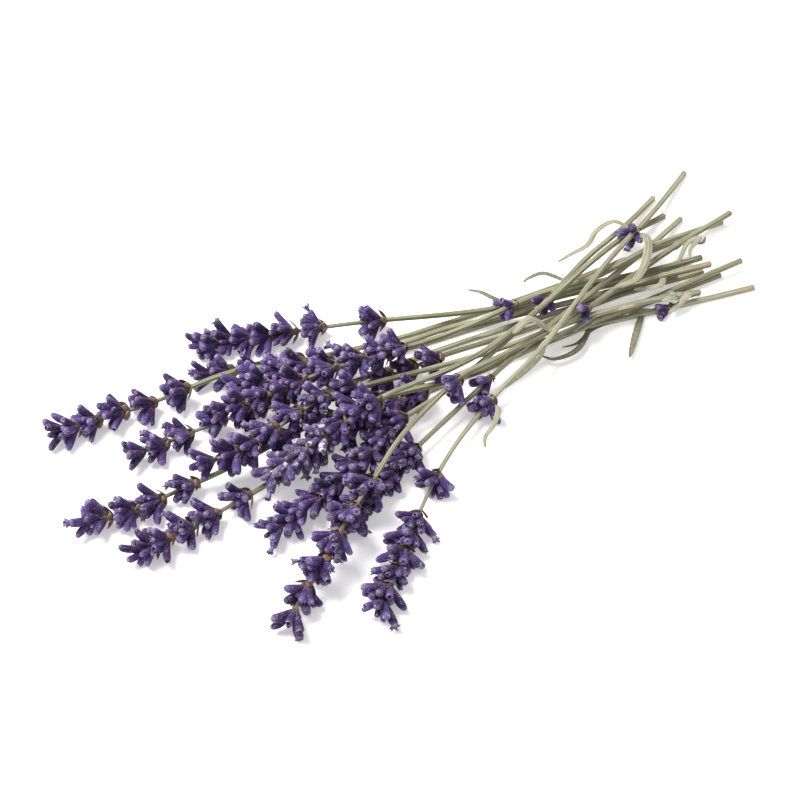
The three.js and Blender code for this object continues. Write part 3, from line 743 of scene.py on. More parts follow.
BLADE_COLUMNS = 5
BLADE_CURL = 0.33
BRACT = dict(length=4.0, widths=(0.4, 1.1, 1.5, 1.5, 1.2, 0.65, 0.06), cup=0.3, thickness=0.16)
SCALE = dict(length=2.8, widths=(0.2, 0.36, 0.34, 0.2, 0.03), cup=0.4, thickness=0.1)

# Rings of a dried flower: share in its map, then radius, height and reach of its lobes in millimetres.
COROLLA_RINGS = (
    (0, 0.45, 0, 0), (0.3, 0.7, 1.0, 0), (0.6, 0.95, 1.7, 0.15), (1.0, 1.1, 2.3, 0.35), (1.2, 0.5, 1.4, 0),
)
COROLLAS = 3
COROLLA_LOBES = 5
COROLLA_BASE = 0.8  # share of the calyx's length
COROLLA_DEPTH = 0.8
COROLLA_MIDDLE = 1.4  # share in its map of the middle of its inside
CRUMPLED = dict(angle=0.3, reach=0.25, rise=0.2)
LOBE_LIFT = 0.4


def calyx_centre(share):
    """A point in the middle of a calyx, which bends a little outward half way along."""
    bend = CALYX_BEND * (share**2 - share)
    return np.array([bend, 0, share]) * CALYX_LENGTH * MM


def calyx_ring(share, radius, tooth):
    corners = []
    for k in range(CALYX_SIDES):
        angle = 2 * math.pi * k / CALYX_SIDES
        out = np.array([math.cos(angle), math.sin(angle), 0])
        corners.append(calyx_centre(share + tooth * (-1) ** k) + radius * MM * out)
    return corners


def calyx_mesh(name, sizes):
    """A closed skin. Past the rim the share in its map goes on growing, to tell the inside by."""
    rings, at, share = [], 0, 0
    for size in sizes[:-1]:
        share = max(share, 1) + INSIDE_STEP if size[0] < at else size[0]
        at = size[0]
        rings.append((calyx_ring(*size), share))
    root = calyx_centre(0) - np.array([0, 0, ROOT_DEPTH * MM])
    tip_share = share + INSIDE_STEP if share > 1 else 1
    return ringed_mesh(name, (root, 0), rings, (calyx_centre(sizes[-1][0]), tip_share))


def hair_coat(name, rings, seed):
    """Short hairs all over a calyx, each a slim closed spike that leans towards its end."""
    lots = np.random.default_rng(seed)
    skin = [ring for ring in rings if ring[1] > HAIRY_RADIUS]
    shares, radii = [ring[0] for ring in skin], [ring[1] for ring in skin]
    half = HAIR_HALF * MM
    points, faces = [], []
    for _ in range(HAIRS):
        share = lots.uniform(shares[0], max(shares))
        angle = lots.uniform(0, 2 * math.pi)
        out = np.array([math.cos(angle), math.sin(angle), 0])
        across = np.array([-math.sin(angle), math.cos(angle), 0])
        root = calyx_centre(share) + HAIR_ROOT * np.interp(share, shares, radii) * MM * out
        lean = out + np.array([0, 0, lots.uniform(*HAIR_SLANT)])
        lean = lean + lots.uniform(-HAIR_SWAY, HAIR_SWAY) * across
        first = len(points)
        points += [root + across * half, root - across * half, root + np.array([0, 0, half])]
        points.append(root + HAIR_LENGTH * lots.uniform(*HAIR_LENGTHS) * MM * unit(lean))
        faces += [(first + k, first + (k + 1) % 3, first + 3) for k in range(3)]
        faces.append((first + 2, first + 1, first))
    mesh = plain_mesh(name, points, faces)
    join_edges(mesh)
    return mesh


def blade_mesh(name, length, widths, cup, thickness):
    """A pointed blade along z with its inner side towards -x, made of two skins joined at the edge."""
    rows, columns = len(widths), BLADE_COLUMNS
    points, marks = [], []
    for skin in (0, 1):
        for row, half in enumerate(widths):
            share = row / (rows - 1)
            for column in range(columns):
                across = 2 * column / (columns - 1) - 1
                inside = 0 if abs(across) == 1 or row in (0, rows - 1) else thickness * skin
                curl = cup * half * across**2 + BLADE_CURL * length * share**2
                points.append((-(curl + inside), half * across, share * length))
                marks.append((column / (columns - 1), share))
    faces = []
    for row in range(rows - 1):
        for column in range(columns - 1):
            first = row * columns + column
            corners = (first, first + 1, first + columns + 1, first + columns)
            faces.append(corners)
            faces.append(tuple(rows * columns + corner for corner in reversed(corners)))
    mesh = plain_mesh(name, np.array(points) * MM, faces)
    set_way(mesh, [marks[corner] for face in faces for corner in face])
    join_edges(mesh)
    return mesh


def corolla_ring(lots, base, radius, height, lobe):
    corners = []
    for k in range(2 * COROLLA_LOBES):
        side = (-1) ** k
        angle = math.pi * (k + CRUMPLED["angle"] * lots.uniform(-1, 1)) / COROLLA_LOBES
        reach = (radius + lobe * side) * (1 + CRUMPLED["reach"] * lots.uniform(-1, 1))
        rise = height * (1 + CRUMPLED["rise"] * lots.uniform(-1, 1)) + LOBE_LIFT * lobe * side
        corners.append(base + np.array([math.cos(angle) * reach, math.sin(angle) * reach, rise]) * MM)
    return corners


def corolla_mesh(name, seed):
    """A dried flower that is left in a calyx: a crumpled cup with a few lobes."""
    lots = np.random.default_rng(seed)
    base = calyx_centre(COROLLA_BASE)
    rings = [(corolla_ring(lots, base, *sizes), share) for share, *sizes in COROLLA_RINGS]
    middle = base + np.array([0, 0, COROLLA_DEPTH * MM])
    return ringed_mesh(name, (base, 0), rings, (middle, COROLLA_MIDDLE))


# ---------------------------------------------------------------- where things grow

# A calyx as points: shares of its length, and how far it reaches there, for one of full size.
CROWD_SHARES = np.array([0.35, 0.6, 0.85, 1.0])
CROWD_REACH = np.array([0.7, 1.1, 1.2, 1.1])
STALK_SPACING = 1.5
OWN_SQUEEZE = 0.8
OTHERS_SQUEEZE = 0.92
FLOOR_SQUEEZE = 0.6

# The solids have room for one calyx on each side of a stalk. These fill the whorls up as life does:
# turns round the stalk and changes of lean in degrees, and shares of full size. The first that has
# room is taken.
FILLER_BENDS = (
    (0, 0, 1.02), (12, 0, 0.95), (-12, 0, 0.95), (0, 9, 0.9), (0, -9, 0.9),
    (20, -5, 0.85), (-20, -5, 0.85), (0, 0, 0.72), (24, 6, 0.72), (-24, 6, 0.72),
)
FILLERS = 9
FILLER_LEANS = (60, 26, 44)
FILLER_JITTER = 7
FILLER_SLIDE = 0.9
TOP_LEAN_SHARE = 0.6
ROOT_SHARE = 0.85
FULL_BELOW = (3, 6, 15, 16)  # stalks with a whorl below the head that is as full as those in it
FULL_WITHIN = 105  # how far back from the tip such a whorl may be
CLOSE_SET = (4, 11, 13, 14)  # stalks whose whorls run into each other

BRACT_BEHIND = 2.1
BRACT_ROOT = 0.55
BRACT_KINDS = ((66, 1), (58, 0.75))  # lean in degrees and size, by turns round the stalk
BUD_BRACT = 0.6
BUD_BRACT_START = 45
SCALES = 9
SCALE_BEHIND = (0.2, 1.6)
SCALE_SIZES = (0.7, 1.2)
SCALE_LEANS = (25, 75)


class Crowd:
    """Where the stalks and calyces are, as points that reach so far."""

    def __init__(self, laid):
        self.points, self.owners, self.reach = np.empty((0, 3)), np.empty(0), np.empty(0)
        for owner, stalk in enumerate(laid):
            backs = np.arange(0, stalk.length, STALK_SPACING)
            in_head = backs < stalk.neck
            reach = np.where(in_head, stalk.rachis_radius(backs), stalk.stem_half(backs))
            self.add(np.array([stalk.at(back).point for back in backs]), owner, reach)

    def add(self, points, owner, reach):
        self.points = np.vstack([self.points, points])
        self.owners = np.append(self.owners, np.full(len(points), owner))
        self.reach = np.append(self.reach, reach)

    def add_calyx(self, sprig, owner):
        self.add(*self.shape_of(sprig, owner))

    @staticmethod
    def shape_of(sprig, owner):
        steps = sprig.size * CALYX_LENGTH * CROWD_SHARES
        return sprig.root + steps[:, None] * sprig.along, owner, sprig.size * CROWD_REACH

    def has_room(self, sprig, owner):
        points, owner, reach = self.shape_of(sprig, owner)
        if (points[:, 2] < FLOOR_SQUEEZE * reach).any():
            return False
        squeeze = np.where(self.owners == owner, OWN_SQUEEZE, OTHERS_SQUEEZE)
        need = (self.reach[:, None] + reach) * squeeze[:, None]
        apart = np.linalg.norm(self.points[:, None] - points, axis=2)
        return bool((apart > need).all())


def fillers_of(stalk, owner, crowd):
    """More calyces between those that the solid head has, wherever there is room."""
    lots = np.random.default_rng(owner)
    found = []
    backs = list(stalk.whorls)
    if owner + 1 in FULL_BELOW:
        backs += [back for back in stalk.buds if back < FULL_WITHIN]
    if owner + 1 in CLOSE_SET:
        backs += [(one + other) / 2 for one, other in zip(stalk.whorls, stalk.whorls[1:])]
    for back in backs:
        start = 360 * lots.random()
        reach = ROOT_SHARE * stalk.rachis_radius(back)
        for k in range(FILLERS):
            slide = FILLER_SLIDE * (2 * lots.random() - 1)
            place = stalk.at(back + slide)
            spin = start + k * 360 / FILLERS + FILLER_JITTER * (2 * lots.random() - 1)
            lean = FILLER_LEANS[k % len(FILLER_LEANS)] + FILLER_JITTER * (2 * lots.random() - 1)
            lean *= 1 - (1 - TOP_LEAN_SHARE) * max(place.outward(spin)[2], 0)
            for turn, more, size in FILLER_BENDS:
                root = place.point + reach * place.outward(spin + turn)
                sprig = leaning(place, root, spin + turn, lean + more, size, back)
                if crowd.has_room(sprig, owner):
                    crowd.add_calyx(sprig, owner)
                    found.append(sprig)
                    break
    return found


def bracts_of(stalk, backs, start, full_size):
    """Papery bracts behind each whorl: two broad ones across from each other, and two between."""
    found = []
    for k, back in enumerate(backs):
        place = stalk.at(back + BRACT_BEHIND)
        for quarter in range(4):
            lean, share = BRACT_KINDS[quarter % 2]
            spin = start + 90 * (k + quarter)
            root = place.point + BRACT_ROOT * place.outward(spin)
            found.append(leaning(place, root, spin, lean, full_size * share, back))
    return found


def scales_of(stalk, backs, lots):
    """Small dry scales all round the roots of the calyces of each whorl."""
    found = []
    for back in backs:
        for k in range(SCALES):
            place = stalk.at(back + lots.uniform(*SCALE_BEHIND))
            spin = (k + lots.random()) * 360 / SCALES
            root = place.point + BRACT_ROOT * place.outward(spin)
            size = lots.uniform(*SCALE_SIZES)
            found.append(leaning(place, root, spin, lots.uniform(*SCALE_LEANS), size, back))
    return found


def grown_points(name, sprigs, shift, sizes, kinds, frost=None):
    """A mesh of bare points, each with the direction, size and kind of what grows there."""
    mesh = plain_mesh(name, [(sprig.root + shift) * MM for sprig in sprigs])
    set_values(mesh, "along", "FLOAT_VECTOR", [sprig.along for sprig in sprigs])
    set_values(mesh, "out", "FLOAT_VECTOR", [sprig.out for sprig in sprigs])
    set_values(mesh, "size", "FLOAT_VECTOR", sizes)
    set_values(mesh, "kind", "INT", kinds)
    if frost:
        set_values(mesh, "frost", "FLOAT", frost)
    return mesh


# ---------------------------------------------------------------- lines that are swept

STEM_SPACING = 1.0
RACHIS_SHARE = 0.68
KNOT_SPREAD = 1.1
KNOT_SWELL = 0.28
TIP_STOPS_SHORT = 3.0
STEM_CORNERS = 16
STEM_GROOVE = 0.13
STEM_CAP = ((0.16, 0.02), (0.15, 0.5), (0.08, 0.88))  # past the cut end, and shares of its width
CAP_RUN = -1.0  # how the cut end is told from the rest of the stem, whose run is 0 and more
BLUSHED = (4, 8)  # stalks that are tinged pink at their cut end

LEAF_POINTS = 40
LEAF_STARTS = 0.15  # its width follows half a wave, between these shares of it
LEAF_ENDS = 0.99
LEAF_GIRTH = 1.22
LEAF_BLUNTNESS = 0.38
DARK_LEAF = 0.15
PALE_LEAF = 0.35
NEAR_CORNERS = 4
LEAF_HALF_PROFILE = (
    (0.12, 0.17), (0.45, 0.2), (0.86, 0.13), (1, -0.02), (0.82, -0.16), (0.4, -0.08), (0.13, -0.2),
)


def stem_profile():
    """A rounded square with a groove down each side. Half its width is one millimetre."""
    corners = []
    for k in range(STEM_CORNERS):
        angle = 2 * math.pi * k / STEM_CORNERS
        square = (math.cos(angle) ** 4 + math.sin(angle) ** 4) ** -0.25
        radius = square * (1 - STEM_GROOVE * max(math.cos(4 * angle), 0))
        corners.append((radius * math.cos(angle), radius * math.sin(angle)))
    return corners


def leaf_profile():
    """A thin blade with a raised middle and a vein below, the same on both sides, from its edge on."""
    other_side = [(-x, y) for x, y in reversed(LEAF_HALF_PROFILE)]
    edge = LEAF_HALF_PROFILE.index(max(LEAF_HALF_PROFILE))
    return other_side[edge:] + list(LEAF_HALF_PROFILE) + other_side[:edge]


def profile_object(name, corners):
    """A closed curve of straight sides, to be swept."""
    curve = bpy.data.curves.new(name, "CURVE")
    spline = curve.splines.new("POLY")
    spline.points.add(len(corners) - 1)
    for point, (x, y) in zip(spline.points, corners):
        point.co = (x * MM, y * MM, 0, 1)
    spline.use_cyclic_u = True
    return new_object(name, curve)


def lines_mesh(name, lines, shift):
    """A mesh of lines; each line is a list of points and what holds at each of them."""
    points, edges, values = [], [], {}
    for line in lines:
        first = len(points)
        points += [(point + shift) * MM for point in line["points"]]
        edges += [(k, k + 1) for k in range(first, len(points) - 1)]
        for key, held in line.items():
            if key != "points":
                values.setdefault(key, []).extend(held)
    mesh = plain_mesh(name, points, edges=edges)
    for key, held in values.items():
        set_values(mesh, key, "FLOAT", held)
    return mesh


def stem_line(stalk, number):
    """The whole axis of a stalk, from its cut end to inside its last whorl, with its knots."""
    backs = np.arange(stalk.length, TIP_STOPS_SHORT, -STEM_SPACING)
    knots = [*stalk.buds, *stalk.whorls] + [leaf["back"] for leaf in LEAVES if leaf["stalk"] == number]
    stem = stalk.stem_half(backs)
    share = np.clip((stalk.neck - backs) / NECK_BLEND, 0, 1)
    half = stem + (RACHIS_SHARE * stalk.rachis_radius(backs) - stem) * share
    for knot in knots:
        half = half * (1 + KNOT_SWELL * np.exp(-(((backs - knot) / KNOT_SPREAD) ** 2)))
    end = stalk.at(backs[0])
    cap_points = [end.point - past * end.ahead for past, _ in STEM_CAP]
    cap_half = [half[0] * width for _, width in STEM_CAP]
    count = len(STEM_CAP) + len(backs)
    return {
        "points": [*cap_points, *(stalk.at(back).point for back in backs)],
        "half": [*cap_half, *half],
        "run": [CAP_RUN] * len(STEM_CAP) + list(stalk.length - backs),
        "head": [0.0] * len(STEM_CAP) + list(share),
        "shade": [Lots(number + STEM_LOTS).draw()] * count,
        "blush": [float(number in BLUSHED)] * count,
    }


def lifted(leaf, solid):
    """The points that a leaf goes through, as high as its solid lies."""

    def points(lift):
        return [(x, y, max(z + lift, LEAF_THICKNESS)) for x, y, z in leaf["through"]]

    def misfit(lift):
        return sum(corner[2] for corner in solid.find_n(points(lift)[-1], NEAR_CORNERS))

    return points(min(LEAF_LIFTS, key=misfit) if solid else 0)


def leaf_shade(leaf, number):
    """How pale a leaf is, by lot within what its mark allows."""
    lot = Lots(number + LEAF_LOTS).draw()
    return DARK_LEAF * lot if leaf.get("dark") else PALE_LEAF + (1 - PALE_LEAF) * lot


def leaf_line(leaf, stalk, number, solid):
    root = stalk.at(leaf["back"]).point
    curve, _ = even_curve([root, *lifted(leaf, solid)], LEAF_POINTS)
    at = np.linspace(0, 1, LEAF_POINTS)
    wave = np.sin(math.pi * (LEAF_STARTS + (LEAF_ENDS - LEAF_STARTS) * at))
    curve[:, 2] = np.maximum(curve[:, 2], LEAF_THICKNESS / 2)
    return {
        "points": list(curve),
        "half": list(LEAF_GIRTH * leaf["half"] * wave**LEAF_BLUNTNESS),
        "run": list(at),
        "shade": [leaf_shade(leaf, number)] * LEAF_POINTS,
    }


# ---------------------------------------------------------------- materials
#
# A layer has its colour, then masks from 0 to 1, which are multiplied. The scale of a noise or of fine
# hairs is about how many of its specks go to a metre. The value shade lies between 0 and 1 and differs
# from one grown thing to the next. The value run goes along a line: from the cut end of a stem in
# millimetres, or from the root of a leaf to its tip from 0 to 1.

# Fine hairs on a surface are specks of a noise, of a finer one with some of a coarser one.
COARSE_SCALE = 0.23
COARSE_SHARE = 0.6
SPECK_LEVEL = 1.08  # what the two add up to where a speck starts, less the cover
SPECK_EDGE = 7.0  # how sharply a speck ends
CALYX_RIBS = 13.0

# Stripes of stems and leaves: how many to a metre across, how far their noise runs on lengthwise,
# and how far apart the noises of two stalks or leaves may lie, so that no two look the same.
STEM_STRIPES = 2600.0
STEM_RUN = 0.06
LEAF_STRIPES = 3200.0
LEAF_RUN = 5.0
NOISES_APART = 40.0
BRACT_VEINS = 62.0

# How high the fine relief of a surface stands, in metres.
CALYX_RELIEF = 0.00012
FINE_RELIEF = 0.00015
COROLLA_RELIEF = 0.0002

# Colours along or over a surface, each with the value that it has its place at.
# Of a calyx: the tones at 0.72 and 0.785 make its rim lighter, with pale hairs and a painted highlight;
# those at 0.82 and 0.88, past the rim, are painted shade inside its mouth.
CALYX_TONES = (
    (0.0, "a89c8e"), (0.12, "7a6a79"), (0.24, "47325e"), (0.45, "462d6a"), (0.62, "523977"),
    (0.72, "6c538c"), (0.785, "9888b0"), (0.82, "2e2038"), (0.88, "170d1c"),
)
TONES_PER_LENGTH = 0.8  # the tones of a calyx run on to its inside, past its rim
HAIR_TONES = ((0.0, "8d80a6"), (0.5, "aca1be"), (1.0, "cfc8d8"))
STEM_TONES = ((0.28, "504e38"), (0.42, "807e64"), (0.53, "a3a186"), (0.64, "c1bfa8"), (0.76, "dad8c8"))
LEAF_TONES = ((0.3, "67654b"), (0.5, "95937a"), (0.7, "bdbba6"))
BRACT_TONES = ((0.3, "4a342c"), (0.48, "745749"), (0.62, "927562"), (0.78, "b8a08c"))
COROLLA_TONES = ((0.3, "4a3c66"), (0.5, "7a6c9c"), (0.7, "a79cc0"))


def colour(text):
    """A colour written as screens show it, as the linear numbers that materials take."""
    parts = [int(text[k : k + 2], 16) / 255 for k in (0, 2, 4)]
    linear = [((part + 0.055) / 1.055) ** 2.4 if part > 0.04045 else part / 12.92 for part in parts]
    return (*linear, 1.0)


def fuzz_group():
    """Fine light hairs on a surface: a mask of short specks, and the height that they stand."""
    inputs = {"Vector": "Vector", "Scale": "Float", "Cover": "Float"}
    tree, given, result = new_group("fuzz", "ShaderNodeTree", inputs, {"Mask": "Float", "Height": "Float"})
    fine = tree.noise(given["Vector"], given["Scale"], 2.0, 0.6)
    coarse = tree.noise(given["Vector"], tree.times(given["Scale"], COARSE_SCALE), 1.0)
    both = tree.math("ADD", fine, tree.times(coarse, COARSE_SHARE))
    over = tree.math("SUBTRACT", both, tree.math("SUBTRACT", SPECK_LEVEL, given["Cover"]))
    tree.feed(result["Mask"], tree.math("MULTIPLY", over, SPECK_EDGE, clamp=True))
    tree.feed(result["Height"], both)
    return tree.tree


def ribs_group():
    """Ribs along a calyx, side by side round it: high on each rib and low in each furrow."""
    inputs = {"Turn": "Float", "Count": "Float"}
    tree, given, result = new_group("ribs", "ShaderNodeTree", inputs, {"Height": "Float"})
    wave = tree.math("COSINE", tree.times(given["Turn"], 2 * math.pi, given["Count"]))
    tree.feed(result["Height"], tree.math("MULTIPLY_ADD", wave, 0.5, 0.5))
    return tree.tree


FUZZ = fuzz_group()
RIBS = ribs_group()


class Paint(Tree):
    """A material whose colour is laid on in layers, the first at the bottom."""

    def __init__(self, name, roughness, sheen):
        self.material = bpy.data.materials.new(name)
        self.material.use_nodes = True
        super().__init__(self.material.node_tree)
        self.surface = self.tree.nodes["Principled BSDF"].inputs
        self.plain({"Roughness": roughness, "Specular IOR Level": 0.25})
        self.plain({"Sheen Weight": sheen, "Sheen Roughness": 0.45})

    def plain(self, values):
        """Gives inputs of the surface plain values, by their names."""
        for name, value in values.items():
            self.surface[name].default_value = value

    def value(self, name):
        return self.add("ShaderNodeAttribute", attribute_name=name)["Fac"]

    def around(self):
        """Where a point is on the profile that was swept."""
        return self.add("ShaderNodeAttribute", attribute_name="around")["Vector"]

    def way(self):
        """The turn and the share of a grown shape, from its map."""
        turn, share, _ = self.separated(self.add("ShaderNodeUVMap", uv_map="way")[0])
        return turn, share

    def place(self):
        return self.add("ShaderNodeTexCoord")["Object"]

    def mixed(self, share, one, other):
        """A mix of two colours. The sockets go by number, as their names are shared."""
        return self.add("ShaderNodeMix", {0: share, 6: one, 7: other}, data_type="RGBA")[2]

    def base(self, value, tones):
        """The bottom layer: a colour that changes with a value."""
        self.tone = self.add("ShaderNodeValToRGB", {0: value})[0]
        elements = self.tone.node.color_ramp.elements
        while len(elements) < len(tones):
            elements.new(1.0)
        for element, (place, text) in zip(elements, tones):
            element.position = place
            element.color = colour(text)

    def layer(self, text, *masks):
        """Lays a colour over what is there, as far as all the masks let it through."""
        self.tone = self.mixed(self.times(*masks), self.tone, colour(text))

    def fuzz(self, text, scale, cover, *masks):
        """Lays fine hairs of one colour over what is there, and gives back how high they stand."""
        hairs = self.group(FUZZ, Vector=self.place(), Scale=scale, Cover=cover)
        self.layer(text, hairs["Mask"], *masks)
        return hairs["Height"]

    def finished(self, height=None, distance=0.0):
        """The material, with its colour and the fine relief of its surface."""
        self.feed(self.surface["Base Color"], self.tone)
        if height is not None:
            inputs = {"Height": height, "Distance": distance, "Strength": 1.0}
            self.feed(self.surface["Normal"], self.add("ShaderNodeBump", inputs)[0])
        return self.material


def calyx_material():
    paint = Paint("calyx", 0.85, 0.25)
    turn, share = paint.way()
    place, shade, frost = paint.place(), paint.value("shade"), paint.value("frost")
    paint.base(paint.times(share, TONES_PER_LENGTH), CALYX_TONES)
    paint.layer("20142a", paint.step(shade, 0.55, 0.0), 0.65)
    paint.layer("7259a2", paint.step(shade, 0.55, 1.0), 0.45)
    worn = paint.step(paint.noise(place, 420.0, 2.0), 0.5, 0.72)
    paint.layer("6b4f62", worn, 0.35)
    rib = paint.group(RIBS, Turn=turn, Count=CALYX_RIBS)["Height"]
    # The furrows between the ribs are darkened: painted shade.
    furrow = paint.math("SUBTRACT", 1.0, rib)
    paint.layer("1e1228", furrow, 0.6)
    cover = paint.math("ADD", 0.2, paint.times(frost, 0.08))
    outside = paint.step(share, 1.04, 1.0)
    fuzz = paint.fuzz("aa9ac0", 2600.0, cover, 0.55, outside)
    # Pale specks near the rim: rim hairs, with a painted highlight on the rim.
    rim_hairs_and_highlight = paint.step(share, 0.84, 0.96)
    specks = paint.step(paint.noise(place, 2200.0, 2.0, 0.7), 0.54, 0.64)
    paint.layer("c6bcd8", rim_hairs_and_highlight, outside, specks)
    paint.layer("877c96", frost, 0.3)
    crumbs = paint.step(paint.noise(place, 460.0, 3.0, 0.7), 0.56, 0.61)
    paint.layer("e9e7ec", frost, crumbs)
    paint.plain({"Sheen Tint": colour("b3a2da")})
    return paint.finished(paint.math("ADD", paint.times(rib, 0.5), fuzz), CALYX_RELIEF)


def hair_material():
    paint = Paint("hair", 0.8, 0.3)
    paint.base(paint.value("shade"), HAIR_TONES)
    return paint.finished()


def stem_material():
    paint = Paint("stem", 0.72, 0.12)
    around = paint.around()
    run, shade, head, blush = (paint.value(name) for name in ("run", "shade", "head", "blush"))
    x, y, _ = paint.separated(around)
    lengthwise = paint.math("MULTIPLY_ADD", shade, NOISES_APART, paint.times(run, STEM_RUN))
    stripes = paint.combined(paint.times(x, STEM_STRIPES), paint.times(y, STEM_STRIPES), lengthwise)
    streak = paint.noise(stripes, 1.0, 4.0, 0.6)
    paint.base(streak, STEM_TONES)
    brown = paint.step(paint.noise(paint.place(), 95.0), 0.52, 0.7)
    paint.layer("7d6648", brown, 0.3)
    paint.layer("b5b39a", paint.step(shade, 0.5, 1.0), 0.4)
    paint.layer("77754f", paint.step(shade, 0.55, 0.0), 0.45)
    # Darker from 25 to 80 mm past the cut end: painted shade of the crevices among the stems there.
    paint.layer("6c6a50", paint.step(run, 25.0, 80.0), 0.08)
    pink_end = paint.step(run, 12.0, 2.0)
    paint.layer("c39f8c", pink_end, 0.45, blush)
    paint.layer("7d7478", head, 0.35)
    ridge = paint.add("ShaderNodeVectorMath", {0: around}, operation="LENGTH")["Value"]
    # Darker down the grooves of each stem: painted shade.
    groove = paint.step(ridge, 1.06 * MM, 0.9 * MM)
    paint.layer("57553f", groove, 0.35)
    fuzz = paint.fuzz("d8d5c8", 3200.0, 0.12, 0.5)
    middle = paint.step(ridge, 0.9 * MM, 0.4 * MM)
    pith = paint.mixed(middle, colour("a98f74"), colour("d6c6ae"))
    cut = paint.step(run, -0.2, -0.8)
    paint.tone = paint.mixed(cut, paint.tone, pith)
    return paint.finished(paint.math("ADD", streak, paint.times(fuzz, 0.3)), FINE_RELIEF)


def leaf_material():
    paint = Paint("leaf", 0.75, 0.2)
    run, shade = paint.value("run"), paint.value("shade")
    across = paint.separated(paint.around())[0]
    apart, lengthwise = paint.times(shade, NOISES_APART), paint.times(run, LEAF_RUN)
    stripes = paint.combined(paint.times(across, LEAF_STRIPES), apart, lengthwise)
    mottle = paint.noise(stripes, 1.0, 4.0, 0.6)
    paint.base(mottle, LEAF_TONES)
    side = paint.math("ABSOLUTE", across)
    vein = paint.step(side, 0.22 * MM, 0.1 * MM)
    paint.layer("b9b49b", vein, 0.6)
    edge = paint.step(side, 0.8 * MM, 1.0 * MM)
    paint.layer("d6d4c7", edge, 0.65)
    dry_tip = paint.step(run, 0.85, 1.0)
    paint.layer("9a8263", dry_tip, 0.4)
    paint.layer("a7a48c", shade, 0.3)
    paint.layer("5c5d49", paint.step(shade, 0.4, 0.1), 0.65)
    paint.fuzz("d3d0c4", 3600.0, 0.2, 0.4)
    return paint.finished(paint.math("ADD", mottle, paint.times(vein, 0.5)), FINE_RELIEF)


def bract_material():
    paint = Paint("bract", 0.7, 0.1)
    across, share = paint.way()
    shade = paint.value("shade")
    mottle = paint.noise(paint.place(), 900.0, 4.0, 0.65)
    paint.base(mottle, BRACT_TONES)
    paint.layer("8e5536", paint.step(shade, 0.5, 1.0), 0.4)
    paint.layer("a39484", paint.step(shade, 0.4, 0.0), 0.45)
    sideways = paint.math("SUBTRACT", across, 0.5)
    fan = paint.times(sideways, paint.math("ADD", share, 0.5), BRACT_VEINS)
    vein = paint.math("MULTIPLY_ADD", paint.math("COSINE", fan), 0.5, 0.5)
    paint.layer("6a4130", paint.step(vein, 0.6, 1.0), 0.35)
    edge = paint.step(paint.math("ABSOLUTE", sideways), 0.3, 0.48)
    paint.layer("d3bda8", edge, 0.55)
    green_root = paint.step(share, 0.3, 0.0)
    paint.layer("98937a", green_root, 0.6)
    paint.fuzz("d9c9b8", 3000.0, 0.12, 0.35)
    return paint.finished(paint.math("ADD", mottle, paint.times(vein, 0.4)), FINE_RELIEF)


def corolla_material():
    paint = Paint("dried_flower", 0.75, 0.2)
    _, share = paint.way()
    mottle = paint.noise(paint.place(), 1200.0, 4.0, 0.65)
    paint.base(mottle, COROLLA_TONES)
    paint.layer("9c8f9f", paint.value("shade"), 0.5)
    # Darker deep in the cup of the dried flower: painted shade.
    painted_throat_shade = paint.step(share, 1.1, 1.35)
    paint.layer("2b1c3c", painted_throat_shade)
    return paint.finished(mottle, COROLLA_RELIEF)


# ---------------------------------------------------------------- putting it together

SWEEPING = sweeping_tree()
GROWING = growing_tree()

# How far the sizes of grown shapes spread, and how far they are turned, in radians.
CALYX_CHANGE = {"Spread": 0.1, "Twist": 0.6}
COROLLA_CHANGE = {"Spread": 0.15, "Twist": 0.6}
BLADE_CHANGE = {"Spread": 0.2, "Twist": 0.4}
CALYX_SEED = 11
KIND_SHARES = (0.42, 0.2, 0.22, 0.16)
STRETCH = 1.05
BUD_GIRTH = 1.35
COROLLA_SHARE = 0.45
FROSTED = 14  # the stalk with pale crumbs on its head
FROST_FROM = 30  # which reach so far back from its tip
LEAST_FROST = 0.2


def sweep(name, lines, shift, profile, material, nodes=()):
    values = {"Profile": profile, "Material": material}
    evaluated_piece(name, lines_mesh(name + "_lines", lines, shift), SWEEPING, values, nodes)
    bpy.data.objects.remove(profile)


def build_stems(laid, shift, solids):
    stems = [stem_line(stalk, number) for number, stalk in enumerate(laid, 1)]
    profile = profile_object("stem_profile", stem_profile())
    sweep("stems", stems, shift, profile, stem_material(), [stem for stem, _ in STALK_NODES])
    blades = []
    for number, leaf in enumerate((*LEAVES, *SMALL_LEAVES)):
        of = leaf["stalk"] - 1
        solid = solids[of] if number < len(LEAVES) else None
        blades.append(leaf_line(leaf, laid[of], number, solid))
    sweep("leaves", blades, shift, profile_object("leaf_profile", leaf_profile()), leaf_material())


def grow(name, meshes, points, change, material, nodes=()):
    """Grows shapes on points with the growing tree, and takes the shapes away again."""
    shapes = bpy.data.collections.new(name + "_shapes")
    for mesh in meshes:
        new_object(mesh.name, mesh, shapes)
    values = {"Shapes": shapes, "Seed": CALYX_SEED, "Material": material, **change}
    evaluated_piece(name, points, GROWING, values, nodes)
    for shape in list(shapes.objects):
        bpy.data.objects.remove(shape)
    bpy.data.collections.remove(shapes)


def grow_blades(name, shape, sprigs, shift, material):
    sizes = [(sprig.size, sprig.size, sprig.size) for sprig in sprigs]
    source = grown_points(name + "_points", sprigs, shift, sizes, [0] * len(sprigs))
    grow(name, [shape], source, BLADE_CHANGE, material)


def calyx_size(sprig):
    girth = sprig.size * (BUD_GIRTH if sprig.is_bud else 1)
    return girth, girth, STRETCH * sprig.size


